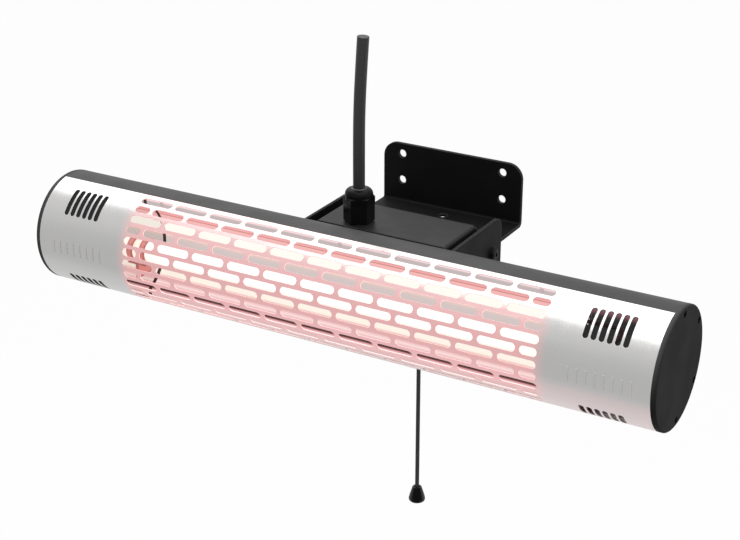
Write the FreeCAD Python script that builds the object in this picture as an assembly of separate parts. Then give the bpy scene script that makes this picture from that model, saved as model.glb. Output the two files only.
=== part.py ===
"""Wall-mounted electric patio heater: a slotted tube on a tilting yoke, with a pull switch.

Millimetres, +Z up.  The pieces are drawn about the tube's axis, with X along the tube and the
grille facing -Y, and are then moved so that the origin is the middle of the wall bolts, on the wall.
"""
import FreeCAD
import Part
import math
import os

V = FreeCAD.Vector

# Clearances shared by many pieces, how far cutters run past a face, and how close counts as the same place
snug_gap = 0.05
hole_gap = 0.1
overshoot = 1.0
same_place = 1e-3

# Tube, its shells and its end caps
tube_radius = 52.5
tube_length = 614.0
cap_rim = 4.5
cap_edge_round = 1.4
housing_wall = 1.8
grille_wall = 1.0
seam_angle = 100.0
seam_gap = 0.3
seam_rib_wall = 1.5
seam_flange_depth = 7.0
spigot_wall = 2.0
spigot_depth = 8.0
spigot_seam_angle = 12.0

# End-cap screws and the screw ports that run along the housing
port_angles = (35.0, 88.0, -35.0, -88.0)
port_circle_radius = 47.0
port_radius = 3.3
port_web = 4.0
cap_screw_radius = 1.6
cap_screw_length = 14.0
cap_screw_head_radius = 3.0
cap_screw_head_height = 1.7
cap_screw_recess = 2.2

# Slots, vents and plain embossed ribs of the grille
slot_rows = 13
slot_row_angle = 11.655
slot_length = 34.0
slot_height = 7.3
slot_pitch = 37.8
slots_per_row = 11
half_slot_length = 15.5
vent_count = 6
vent_end_distance = 26.3
vent_pitch = 6.78
vent_width = 4.7
vent_start_angle = 115.3
vent_end_angle = 145.6
rib_count = 8
rib_end_distance = 16.3
rib_pitch = 7.6
rib_width = 1.8
rib_height = 0.4
rib_half_angle = 7.0

# Reflector, bulkheads and seam rivets
reflector_radius = 48.7
reflector_wall = 0.8
reflector_centre_y = -32.7
bulkhead_past_ceramic = 3.0
bulkhead_wall = 1.2
bulkhead_gap = 0.4
rivet_radius = 1.2
rivet_head_radius = 2.4
rivet_head_height = 0.9
rivet_crown_share = 0.6
rivet_tail_radius = 1.8
rivet_circle_radius = 46.2
rivet_bulkhead_distance = 19.0

# Heating tube, its ceramic ends and their clips
lamp_y = -18.0
glass_radius = 9.0
glass_wall = 1.25
glass_half_length = 185.0
filament_radius = 2.2
filament_half_length = 168.0
filament_tail_radius = 0.8
ceramic_radius = 10.5
ceramic_past_glass = 21.0
ceramic_socket = 7.0
pin_radius = 2.0
pin_length = 6.0
clip_wall = 1.2
clip_ring_past_glass = 14.0
clip_ring_width = 6.0
clip_half_width = 10.0
clip_leg_height = 14.0

# Leads inside the tube
lead_radius = 1.7
lead_x = 12.0
lead_bend = 14.0
lead_past_bulkhead = 36.0
lead_back_y = 44.5
lead_hole_radius = 3.0

# Yoke: pivot, wall plate and cheeks
pivot_to_axis = 133.5
wall_to_axis = 202.0
bolts_above_axis = 41.0
sheet = 3.0
plate_top = 65.0
plate_corner = 15.0
bend_radius = 2.0
shelf_top = 6.0
flange_front = 149.0
flange_bottom = -26.0
bolt_spacing_x = 108.0
bolt_spacing_z = 27.0
bolt_hole_radius = 4.0
shelf_hole_radius = 4.3
shelf_hole_from_wall = 19.5
cheek_wall = 2.5
cheek_top = 32.0
cheek_bottom = -32.0
cheek_front_reach = 79.0
cheek_corner = 12.0
cheek_toe = 8.0

# Pivot bolts
pivot_radius = 4.0
pivot_fit = 0.05
pivot_hole_gap = 0.2
pivot_head_radius = 5.6
pivot_head_height = 3.4
pivot_head_round = 1.8
pivot_drive_flats = 4.0
pivot_drive_depth = 2.0
pivot_washer_radius = 6.4
pivot_washer_wall = 1.0
pivot_nut_flats = 13.0
pivot_nut_height = 6.5
pivot_tip = 2.0
friction_washer_radius = 10.0
friction_gap = 0.05
friction_space = 3.0

# Terminal box on the back of the tube
box_half_width = 67.0
box_front = 58.5
box_shoulder = 118.5
box_tail = 12.5
box_top = 31.5
box_tail_top = 11.0
box_bottom = -26.0
box_wall = 3.0
box_side_round = 3.5
box_edge_round = 1.0
box_shoulder_round = 2.0
box_tail_round = 6.0
box_heel = 20.5
pivot_boss_radius = 10.0
pivot_boss_depth = 4.0
pivot_boss_proud = 4.5
neck_half_width = 38.0
neck_half_height = 18.0
neck_hole_half_width = 17.0
neck_hole_half_height = 7.0
saddle_gasket_wall = 1.2
saddle_screw_x = 28.0
saddle_screw_z = 11.0
saddle_screw_radius = 2.4
saddle_screw_length = 9.5
saddle_head_radius = 4.2
saddle_head_height = 2.8
cover_wall = 1.5
cover_gasket_wall = 0.8
gasket_rear_lip = 2.0
cover_corner = 3.0
cover_screw_radius = 1.9
cover_screw_length = 12.0
cover_head_radius = 3.4
cover_head_height = 2.2
cover_post_radius = 4.5
cover_post_inset = 4.0
cover_post_rear_gap = 8.0

# Cable gland and supply cord
gland_x = -31.5
gland_y = 76.5
gland_body_flats = 25.0
gland_body_top = 49.1
gland_washer_wall = 1.0
gland_thread_radius = 9.8
gland_bore_radius = 6.4
gland_tail = 8.0
gland_flats = 25.5
gland_nut_height = 7.1
gland_dome_height = 7.1
gland_dome_radius = 13.0
gland_dome_round = 5.5
gland_nut_chamfer = 0.8
gland_neck_radius = 10.2
gland_neck_height = 7.0
gland_seal_height = 9.0
gland_gap = 0.1
gland_washer_inset = 0.5
seal_wall = 2.6
locknut_flats = 24.0
locknut_height = 5.0
cord_radius = 5.5
cord_gap = 0.15
cord_inner_end = 12.0
cord_start = 61.6
cord_points = [
    (-31.5, 76.5, cord_start),
    (-31.5, 76.5, 98.4),
    (-31.0, 76.5, 136.1),
    (-29.2, 76.5, 170.9),
    (-26.8, 76.5, 205.2),
]
cord_bend_share = 0.45
core_radius = 1.2
core_spacing = 3.2
core_bend = 7.0
core_level = 2.0

# Terminal block
block_x = (-16.0, 24.0)
block_y = (68.0, 86.0)
block_z = (-6.0, 10.0)
block_poles = 3
block_screw_radius = 2.6
block_screw_depth = 6.0
block_screw_sink = 1.5
block_post_radius = 3.0
block_corner = 1.0

# Pull switch, pull rod, cord and knob
pull_x = 14.5
pull_y = 110.0
switch_half = 13.0
switch_wall = 3.0
switch_corner = 2.0
nozzle_radius = 6.0
nozzle_length = 9.0
nozzle_flare = 1.5
pull_travel = 10.0
rod_radius = 1.75
rod_fit = 0.1
rod_collar_radius = 4.0
rod_collar_height = 3.0
rod_top_gap = 2.0
rod_end_gap = 1.0
chamber_gap = 0.3
eye_drop = 7.0
eye_radius = 4.0
eye_half_wall = 1.5
pin_fit = 0.1
eye_pin_radius = 2.0
clip_gap = 0.4
clip_cheek = 1.6
clip_half_depth = 3.5
clip_floor_gap = 1.5
clip_floor = 6.0
pull_cord_radius = 2.0
pull_cord_sink = 4.0
pull_cord_gap = 0.1
knob_top = -254.8
knob_bottom = -270.3
knob_radius = 8.2
knob_neck_radius = 4.6
knob_collar = 2.4
knob_lip = 3.0
knob_cavity_radius = 5.6
knob_cavity_depth = 8.0
knob_cavity_chamfer = 1.5
knob_top_chamfer = 0.9
knob_neck_draft = 0.4
knob_belly_inset = 0.5
knob_belly_rise = 1.5
knob_foot_rise = 1.2
knob_foot_inset = 1.5
knot_radius = 3.6
knot_waist_share = 0.55
switch_lead_bend = 4.5
switch_lead_inset = 6.0

# Sizes worked out from the ones above
seal_outer = cord_radius + cord_gap + seal_wall
shell_half = tube_length / 2 - cap_rim
housing_inner = tube_radius - housing_wall
grille_inner = tube_radius - grille_wall
pivot_y = pivot_to_axis
box_rear = pivot_y + box_tail
plate_front = wall_to_axis - sheet
shelf_bottom = shelf_top - sheet
cheek_rear = flange_front + sheet
pivot_boss_face = box_half_width + pivot_boss_proud
plate_half_width = pivot_boss_face + friction_space
cheek_outer = plate_half_width + cheek_wall
cover_top = box_bottom - cover_gasket_wall
cover_bottom = cover_top - cover_wall
ceiling = box_top - box_wall
nozzle_bottom = cover_bottom - nozzle_length
eye_z = nozzle_bottom - eye_drop
rod_bore = rod_radius + rod_fit
switch_chamber = rod_top_gap + rod_collar_height + pull_travel + rod_end_gap
switch_height = switch_chamber + 2 * switch_wall
gland_nut_top = gland_body_top + gland_nut_height
gland_top = gland_nut_top + gland_dome_height
ceramic_end_x = glass_half_length + ceramic_past_glass
clip_ring_from = glass_half_length + clip_ring_past_glass
bulkhead_inner_x = ceramic_end_x + bulkhead_past_ceramic
bulkhead_outer_x = bulkhead_inner_x + bulkhead_wall
rivet_spacing = bulkhead_inner_x - rivet_bulkhead_distance
lead_turn_x = bulkhead_inner_x + lead_past_bulkhead
clip_floor_top = eye_z - eye_radius - clip_floor_gap
clip_bottom = clip_floor_top - clip_floor
knot_top = knob_bottom + knob_cavity_depth
pivot_bore = pivot_radius + pivot_hole_gap


def span(low, high):
    """Return the two numbers in rising order."""
    return (low, high) if low <= high else (high, low)


def block(x, y, z):
    """Return a box between the (low, high) pairs x, y and z."""
    (x0, x1), (y0, y1), (z0, z1) = span(*x), span(*y), span(*z)
    return Part.makeBox(x1 - x0, y1 - y0, z1 - z0, V(x0, y0, z0))


def rod_x(radius, x, y, z):
    """Return a round bar along X."""
    x0, x1 = span(*x)
    return Part.makeCylinder(radius, x1 - x0, V(x0, y, z), V(1, 0, 0))


def rod_y(radius, x, y, z):
    """Return a round bar along Y."""
    y0, y1 = span(*y)
    return Part.makeCylinder(radius, y1 - y0, V(x, y0, z), V(0, 1, 0))


def rod_z(radius, x, y, z):
    """Return a round bar along Z."""
    z0, z1 = span(*z)
    return Part.makeCylinder(radius, z1 - z0, V(x, y, z0), V(0, 0, 1))


def prism_x(outline, x):
    """Extrude a closed (y, z) outline along X."""
    x0, x1 = span(*x)
    points = [V(x0, y, z) for y, z in outline]
    wire = Part.makePolygon(points + points[:1])
    return Part.Face(wire).extrude(V(x1 - x0, 0, 0))


def hexagon(flats, start, direction, height, first_corner):
    """Return a hexagonal prism; first_corner is a vector that points at one corner."""
    axis = FreeCAD.Rotation(direction, 60)
    corner = V(first_corner).normalize() * (flats / math.sqrt(3))
    points = []
    for _ in range(6):
        points.append(start + corner)
        corner = axis.multVec(corner)
    wire = Part.makePolygon(points + points[:1])
    return Part.Face(wire).extrude(V(direction) * height)


def lathe_z(profile, x, y):
    """Turn a closed (radius, z) outline about a vertical axis at x, y."""
    points = [V(x + r, y, z) for r, z in profile]
    wire = Part.makePolygon(points + points[:1])
    return Part.Face(wire).revolve(V(x, y, 0), V(0, 0, 1), 360)


def polar(radius, angle, x=0.0):
    """Return a point about the tube's axis; 0 is the wall side, 90 the top, 180 the front."""
    turn = math.radians(angle)
    return V(x, radius * math.cos(turn), radius * math.sin(turn))


def sector(inner, outer, start, end, x):
    """Return a curved strip about the tube's axis between two angles."""
    x0, x1 = span(*x)
    middle = (start + end) / 2
    edges = [
        Part.Arc(polar(inner, start, x0), polar(inner, middle, x0), polar(inner, end, x0)).toShape(),
        Part.makeLine(polar(inner, end, x0), polar(outer, end, x0)),
        Part.Arc(polar(outer, end, x0), polar(outer, middle, x0), polar(outer, start, x0)).toShape(),
        Part.makeLine(polar(outer, start, x0), polar(inner, start, x0)),
    ]
    return Part.Face(Part.Wire(edges)).extrude(V(x1 - x0, 0, 0))


def picked(shape, along, longer, x=None, y=None, z=None, above=None):
    """Return the edges longer than a length along one axis, centred on the stated places."""
    found = []
    for edge in shape.Edges:
        box, middle = edge.BoundBox, edge.CenterOfMass
        length = {"x": box.XLength, "y": box.YLength, "z": box.ZLength}[along]
        pairs = ((middle.x, x), (middle.y, y), (middle.z, z))
        placed = all(want is None or abs(value - want) < same_place for value, want in pairs)
        if length > longer and placed and (above is None or middle.z > above):
            found.append(edge)
    return found


def turned(shape, angle):
    """Return a copy of a shape turned about the tube's axis."""
    copy = shape.copy()
    copy.rotate(V(0, 0, 0), V(1, 0, 0), angle)
    return copy


def mirrored(shape, normal):
    """Return a mirror copy of a shape through the plane at the tube's middle."""
    return shape.mirror(V(0, 0, 0), normal)


def both_seams(shape):
    """Place a shape drawn at angle 0 on the upper seam, and its mirror image on the lower one."""
    upper = turned(shape, seam_angle)
    return [upper, mirrored(upper, V(0, 0, 1))]


def tangent_path(points, radii):
    """Return a wire of straight runs joined by tangent arcs, and its length."""
    edges = []
    length = 0.0
    last = points[0]
    for before, corner, after, radius in zip(points, points[1:], points[2:], radii):
        inward = (before - corner).normalize()
        onward = (after - corner).normalize()
        half = (math.pi - inward.getAngle(onward)) / 2
        reach = radius * math.tan(half)
        start = corner + inward * reach
        end = corner + onward * reach
        bisector = (inward + onward).normalize()
        middle = corner + bisector * (radius / math.cos(half) - radius)
        edges.append(Part.makeLine(last, start))
        edges.append(Part.Arc(start, middle, end).toShape())
        length += (start - last).Length + 2 * half * radius
        last = end
    edges.append(Part.makeLine(last, points[-1]))
    return Part.Wire(edges), length + (points[-1] - last).Length


def tube_along(name, points, radii, radius):
    """Sweep a round section along the path and print how its volume compares."""
    path, length = tangent_path(points, radii)
    first = (points[1] - points[0]).normalize()
    section = Part.Wire(Part.makeCircle(radius, points[0], first))
    solid = path.makePipeShell([section], True, False)
    solid = solid if solid.ShapeType == "Solid" else Part.Solid(solid)
    ratio = solid.Volume / (math.pi * radius ** 2 * length)
    bends = [round(bend, 1) for bend in radii]
    print(name, "length", round(length, 2), "radii", bends, "volume ratio", round(ratio, 4))
    return solid


def cord_radii(points):
    """Return the largest arc that each corner of a free cord allows."""
    radii = []
    for before, corner, after in zip(points, points[1:], points[2:]):
        turn = (corner - before).getAngle(after - corner)
        shorter = min((corner - before).Length, (after - corner).Length)
        radii.append(cord_bend_share * shorter / math.tan(turn / 2))
    return radii


def seam_stack():
    """Return the tangential places of the housing rib, grille flange and reflector lip at a seam."""
    rib = (-seam_gap / 2 - seam_rib_wall, -seam_gap / 2)
    flange = (seam_gap / 2, seam_gap / 2 + grille_wall)
    lip = (flange[1] + snug_gap, flange[1] + snug_gap + reflector_wall)
    return rib, flange, lip


def rivet_holes():
    """Return the drillings that the seam rivets pass through."""
    rib, _, lip = seam_stack()
    depth = (rib[0] - overshoot, lip[1] + overshoot)
    holes = []
    for x in (-rivet_spacing, 0, rivet_spacing):
        drill = rod_z(rivet_radius + snug_gap, x, rivet_circle_radius, depth)
        holes += both_seams(drill)
    return holes


def seam_rivets():
    """Return the rivets that hold housing, grille and reflector together along both seams."""
    rib, _, lip = seam_stack()
    profile = [
        (0, rib[0] - rivet_head_height),
        (rivet_tail_radius, rib[0] - rivet_head_height),
        (rivet_tail_radius, rib[0]),
        (rivet_radius, rib[0]),
        (rivet_radius, lip[1]),
        (rivet_head_radius, lip[1]),
        (rivet_head_radius * rivet_crown_share, lip[1] + rivet_head_height),
        (0, lip[1] + rivet_head_height),
    ]
    rivets = []
    for x in (-rivet_spacing, 0, rivet_spacing):
        rivets += both_seams(lathe_z(profile, x, rivet_circle_radius))
    return rivets


def saddle_openings(radius):
    """Return the cuts for the saddle screws and the leads through the back of the tube."""
    y = (housing_inner - 2 * saddle_head_height, box_front)
    cuts = [block((-neck_hole_half_width, neck_hole_half_width), y,
                  (-neck_hole_half_height, neck_hole_half_height))]
    for x in (-saddle_screw_x, saddle_screw_x):
        for z in (-saddle_screw_z, saddle_screw_z):
            cuts.append(rod_y(radius, x, y, z))
    return cuts


def rear_housing():
    """Return the extruded back half of the tube with its screw ports and seam ribs."""
    length = (-shell_half, shell_half)
    half_gap = math.degrees(seam_gap / 2 / tube_radius)
    body = sector(housing_inner, tube_radius, half_gap - seam_angle, seam_angle - half_gap, length)
    wall_middle = housing_inner + housing_wall / 2
    ports = []
    for angle in port_angles:
        centre = polar(port_circle_radius, angle)
        ports.append(rod_x(port_radius, length, centre.y, centre.z))
        web = block(length, (port_circle_radius, wall_middle), (-port_web / 2, port_web / 2))
        ports.append(turned(web, angle))
    rib, _, _ = seam_stack()
    ribs = both_seams(block(length, (grille_inner - seam_flange_depth, wall_middle), rib))
    body = body.fuse(ports + ribs)
    bores = []
    for angle in port_angles:
        centre = polar(port_circle_radius, angle)
        bores.append(rod_x(cap_screw_radius + snug_gap, length, centre.y, centre.z))
    return body.cut(bores + saddle_openings(saddle_screw_radius + hole_gap) + rivet_holes())


def slot_cutter(x, length, angle):
    """Return a round-ended cutter for one slot, pointing outwards at an angle."""
    end = slot_height / 2
    reach = (-tube_radius - rib_height - overshoot, seam_flange_depth - grille_inner)
    straight = length / 2 - end
    shape = block((x - straight, x + straight), reach, (-end, end))
    shape = shape.fuse([rod_y(end, x - straight, reach, 0), rod_y(end, x + straight, reach, 0)])
    return turned(shape, angle - 180)


def slot_cutters():
    """Return all the slots: full rows, and staggered rows that end in half slots."""
    cutters = []
    half_rows = (slot_rows - 1) / 2
    half_zone = (slots_per_row * slot_pitch - (slot_pitch - slot_length)) / 2
    for row in range(slot_rows):
        angle = 180 + (row - half_rows) * slot_row_angle
        staggered = row % 2 == 1
        count = slots_per_row - 1 if staggered else slots_per_row
        for index in range(count):
            x = (index - (count - 1) / 2) * slot_pitch
            cutters.append(slot_cutter(x, slot_length, angle))
        if staggered:
            x = half_zone - half_slot_length / 2
            cutters.append(slot_cutter(x, half_slot_length, angle))
            cutters.append(slot_cutter(-x, half_slot_length, angle))
    return cutters


def vent_cutters():
    """Return the curved vent slots above and below the middle, at both ends of the grille."""
    cutters = []
    depth = (grille_inner - seam_flange_depth / 2, tube_radius + overshoot)
    half = vent_width / 2
    end_angle = math.degrees(half / tube_radius)
    for index in range(vent_count):
        x = shell_half - vent_end_distance - index * vent_pitch
        start, end = vent_start_angle + end_angle, vent_end_angle - end_angle
        cutter = sector(depth[0], depth[1], start, end, (x - half, x + half))
        drill = rod_y(half, x, depth, 0)
        cutter = cutter.fuse([turned(drill, start), turned(drill, end)])
        upper = [cutter, mirrored(cutter, V(1, 0, 0))]
        cutters += upper + [mirrored(shape, V(0, 0, 1)) for shape in upper]
    return cutters


def front_grille():
    """Return the slotted front sheet with its seam flanges and plain embossed ribs."""
    length = (-shell_half, shell_half)
    half_gap = math.degrees(seam_gap / 2 / tube_radius)
    start = seam_angle + half_gap
    sheet_body = sector(grille_inner, tube_radius, start, 360 - start, length)
    _, flange, _ = seam_stack()
    sink = grille_wall / 2
    flanges = both_seams(block(length, (grille_inner - seam_flange_depth, grille_inner + sink), flange))
    ribs = []
    for index in range(rib_count):
        x = shell_half - rib_end_distance - index * rib_pitch
        rib_x = (x - rib_width / 2, x + rib_width / 2)
        rib = sector(tube_radius - sink, tube_radius + rib_height,
                     180 - rib_half_angle, 180 + rib_half_angle, rib_x)
        ribs += [rib, mirrored(rib, V(1, 0, 0))]
    body = sheet_body.fuse(flanges + ribs)
    return body.cut(slot_cutters() + vent_cutters() + rivet_holes())


def cap_screw_places():
    """Return the (y, z) centres of the screws of one end cap."""
    centres = [polar(port_circle_radius, angle) for angle in port_angles]
    return [(centre.y, centre.z) for centre in centres]


def right_end_cap():
    """Return the right end cap with its spigot under the grille and its recessed screw holes."""
    face = tube_length / 2
    disc = rod_x(tube_radius, (shell_half, face), 0, 0)
    disc = disc.makeFillet(cap_edge_round, picked(disc, "y", tube_radius, x=face))
    outer = grille_inner - 2 * snug_gap
    start = seam_angle + spigot_seam_angle
    spigot = sector(outer - spigot_wall, outer, start, 360 - start, (shell_half - spigot_depth, shell_half))
    cap = disc.fuse(spigot)
    cuts = []
    for y, z in cap_screw_places():
        cuts.append(rod_x(cap_screw_radius + 2 * hole_gap, (shell_half, face), y, z))
        recess = (face - cap_screw_recess, face)
        cuts.append(rod_x(cap_screw_head_radius + 2 * hole_gap, recess, y, z))
    return cap.cut(cuts)


def end_cap_screws():
    """Return the screws of both end caps."""
    seat = tube_length / 2 - cap_screw_recess
    screws = []
    for y, z in cap_screw_places():
        shank = rod_x(cap_screw_radius, (seat - cap_screw_length, seat), y, z)
        head = rod_x(cap_screw_head_radius, (seat, seat + cap_screw_head_height), y, z)
        drive = hexagon(cap_screw_head_radius, V(seat + cap_screw_head_height / 2, y, z), V(1, 0, 0),
                        cap_screw_head_height, V(0, 0, 1))
        screw = shank.fuse(head).cut(drive)
        screws += [screw, mirrored(screw, V(1, 0, 0))]
    return screws


def right_bulkhead():
    """Return the disc that closes the right end of the reflector and carries the lamp clip."""
    x = (bulkhead_inner_x, bulkhead_outer_x)
    disc = rod_x(housing_inner - bulkhead_gap, x, 0, 0)
    web_reach = math.hypot(housing_inner - port_circle_radius, port_web / 2)
    cuts = []
    for y, z in cap_screw_places():
        cuts.append(rod_x(max(port_radius, web_reach) + bulkhead_gap, x, y, z))
    rib, _, lip = seam_stack()
    notch = block(x, (grille_inner - seam_flange_depth - bulkhead_gap, tube_radius),
                  (rib[0] - bulkhead_gap, lip[1] + bulkhead_gap))
    cuts += both_seams(notch)
    cuts.append(rod_x(lead_hole_radius, x, lamp_y, 0))
    cuts.append(rod_x(lead_hole_radius, x, lead_back_y, 0))
    return disc.cut(cuts)


def reflector():
    """Return the polished trough behind the heating tube, with a lip along each seam."""
    x = (-bulkhead_inner_x, bulkhead_inner_x)
    outer = reflector_radius + reflector_wall
    ring = rod_x(outer, x, reflector_centre_y, 0).cut(rod_x(reflector_radius, x, reflector_centre_y, 0))
    _, _, lip = seam_stack()
    reach = tube_radius + outer
    front = both_seams(block(x, (0, reach), (lip[1], reach)))
    turn = math.radians(seam_angle)
    offset = reflector_centre_y * math.cos(turn)
    drop = lip[0] + reflector_centre_y * math.sin(turn)
    root = offset + math.sqrt(reflector_radius ** 2 - drop ** 2)
    lips = both_seams(block(x, (root, grille_inner - bulkhead_gap), lip))
    return ring.cut(front).fuse(lips).cut(rivet_holes())


def quartz_tube():
    """Return the clear tube of the heating element."""
    x = (-glass_half_length, glass_half_length)
    return rod_x(glass_radius, x, lamp_y, 0).cut(rod_x(glass_radius - glass_wall, x, lamp_y, 0))


def heating_filament():
    """Return the filament with the thin tails that carry it to the ceramic ends."""
    core = rod_x(filament_radius, (-filament_half_length, filament_half_length), lamp_y, 0)
    tails = rod_x(filament_tail_radius, (-glass_half_length, glass_half_length), lamp_y, 0)
    return core.fuse(tails)


def right_ceramic_end():
    """Return the ceramic end that sockets the glass tube, with its terminal pin."""
    start = glass_half_length - ceramic_socket
    body = rod_x(ceramic_radius, (start, ceramic_end_x), lamp_y, 0)
    pin = rod_x(pin_radius, (ceramic_end_x, ceramic_end_x + pin_length), lamp_y, 0)
    return body.fuse(pin).cut(rod_x(glass_radius + snug_gap, (start, glass_half_length), lamp_y, 0))


def right_lamp_clip():
    """Return the bent clip that holds one ceramic end to its bulkhead."""
    inner = ceramic_radius + snug_gap
    ring_x = (clip_ring_from, clip_ring_from + clip_ring_width)
    ring = rod_x(inner + clip_wall, ring_x, lamp_y, 0)
    shelf_z = (-inner - clip_wall, -inner)
    y = (lamp_y - clip_half_width, lamp_y + clip_half_width)
    shelf = block((clip_ring_from, bulkhead_inner_x), y, shelf_z)
    leg_z = (shelf_z[0] - clip_leg_height, shelf_z[1])
    leg = block((bulkhead_inner_x - clip_wall, bulkhead_inner_x), y, leg_z)
    return ring.fuse([shelf, leg]).cut(rod_x(inner, ring_x, lamp_y, 0))


def lead_points(side):
    """Return the corners of an inner lead; side is 1 for the right one and -1 for the left one."""
    start = ceramic_end_x + pin_length
    return [
        V(side * start, lamp_y, 0),
        V(side * lead_turn_x, lamp_y, 0),
        V(side * lead_turn_x, lead_back_y, 0),
        V(side * lead_x, lead_back_y, 0),
        V(side * lead_x, block_y[0], 0),
    ]


def inner_lead(side):
    """Return one insulated lead from a ceramic end to the terminal block."""
    return tube_along("inner lead", lead_points(side), [lead_bend] * 3, lead_radius)


def wall_plate():
    """Return the folded plate: bolted face, shelf, and the flange between the cheeks."""
    outline = [
        (wall_to_axis, plate_top),
        (plate_front, plate_top),
        (plate_front, shelf_top),
        (flange_front, shelf_top),
        (flange_front, flange_bottom),
        (cheek_rear, flange_bottom),
        (cheek_rear, shelf_bottom),
        (wall_to_axis, shelf_bottom),
    ]
    width = (-plate_half_width, plate_half_width)
    plate = prism_x(outline, width)
    folds = [
        (bend_radius, plate_front, shelf_top),
        (bend_radius, cheek_rear, shelf_bottom),
        (bend_radius + sheet, wall_to_axis, shelf_bottom),
        (bend_radius + sheet, flange_front, shelf_top),
    ]
    for radius, y, z in folds:
        plate = plate.makeFillet(radius, picked(plate, "x", plate_half_width, y=y, z=z))
    plate = plate.makeFillet(plate_corner, picked(plate, "y", sheet / 2, z=plate_top))
    cuts = []
    for x in (-bolt_spacing_x / 2, bolt_spacing_x / 2):
        for z in (-bolt_spacing_z / 2, bolt_spacing_z / 2):
            cuts.append(rod_y(bolt_hole_radius, x, (plate_front, wall_to_axis), bolts_above_axis + z))
    cuts.append(rod_z(shelf_hole_radius, 0, wall_to_axis - shelf_hole_from_wall, (shelf_bottom, shelf_top)))
    return plate.cut(cuts)


def right_cheek():
    """Return the cheek welded to the right end of the flange; its front clears the swinging tube."""
    x = (plate_half_width, cheek_outer)
    front = pivot_y - cheek_front_reach
    cheek = block(x, (front, cheek_rear), (cheek_bottom, cheek_top))
    for radius, z in ((cheek_corner, cheek_top), (cheek_toe, cheek_bottom)):
        cheek = cheek.makeFillet(radius, picked(cheek, "x", cheek_wall / 2, y=cheek_rear, z=z))
    swing = rod_x(cheek_front_reach, x, pivot_y, 0)
    upper = block(x, (front, cheek_rear), (0, cheek_top))
    cheek = cheek.common(swing.fuse(upper))
    return cheek.cut(rod_x(pivot_bore, x, pivot_y, 0))


def right_pivot_bolt():
    """Return the right pivot bolt with its low round head and hexagonal drive."""
    seat = cheek_outer + pivot_washer_wall
    end = seat + pivot_head_height
    tip = box_half_width - box_wall - pivot_boss_depth - pivot_nut_height - pivot_tip
    shank = rod_x(pivot_radius, (tip, seat), pivot_y, 0)
    head = rod_x(pivot_head_radius, (seat, end), pivot_y, 0)
    head = head.makeFillet(pivot_head_round, picked(head, "y", pivot_head_radius, x=end))
    foot = V(end - pivot_drive_depth, pivot_y, 0)
    drive = hexagon(pivot_drive_flats, foot, V(1, 0, 0), pivot_drive_depth, V(0, 0, 1))
    return shank.fuse(head).cut(drive)


def right_pivot_washer():
    """Return the flat washer under the right bolt head."""
    x = (cheek_outer, cheek_outer + pivot_washer_wall)
    return rod_x(pivot_washer_radius, x, pivot_y, 0).cut(rod_x(pivot_bore, x, pivot_y, 0))


def right_friction_washer():
    """Return the friction washer between the right cheek and the terminal box."""
    x = (pivot_boss_face + friction_gap, plate_half_width)
    return rod_x(friction_washer_radius, x, pivot_y, 0).cut(rod_x(pivot_bore, x, pivot_y, 0))


def right_pivot_nut():
    """Return the nut of the right pivot bolt, inside the terminal box."""
    end = box_half_width - box_wall - pivot_boss_depth - friction_gap
    start = end - pivot_nut_height
    nut = hexagon(pivot_nut_flats, V(start, pivot_y, 0), V(1, 0, 0), pivot_nut_height, V(0, 0, 1))
    return nut.cut(rod_x(pivot_radius + pivot_fit, (start, end), pivot_y, 0))


def pair(shape):
    """Return a right-hand piece and its mirror image."""
    return [shape, mirrored(shape, V(1, 0, 0))]


def box_outline(inset):
    """Return the side outline of the terminal box, drawn in by a wall."""
    front, rear = box_front + inset, box_rear - inset
    heel = box_heel - inset * math.sqrt(2)
    fall = (box_top - box_tail_top) / (box_rear - box_shoulder)
    drop = inset * math.sqrt(1 + fall ** 2)
    return [
        (front, box_top - inset),
        (box_shoulder - (drop - inset) / fall, box_top - inset),
        (rear, box_tail_top - drop + inset * fall),
        (rear, rear - pivot_y - heel),
        (pivot_y + box_bottom + heel, box_bottom),
        (front, box_bottom),
    ]


def cover_posts():
    """Return the (x, y) centres of the screw posts at the corners of the box opening."""
    heel = pivot_y + box_bottom + box_heel
    x = box_half_width - box_wall - cover_post_inset
    y = (box_front + box_wall + cover_post_inset, heel - box_wall - cover_post_rear_gap)
    return [(side * x, level) for side in (-1, 1) for level in y]


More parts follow.
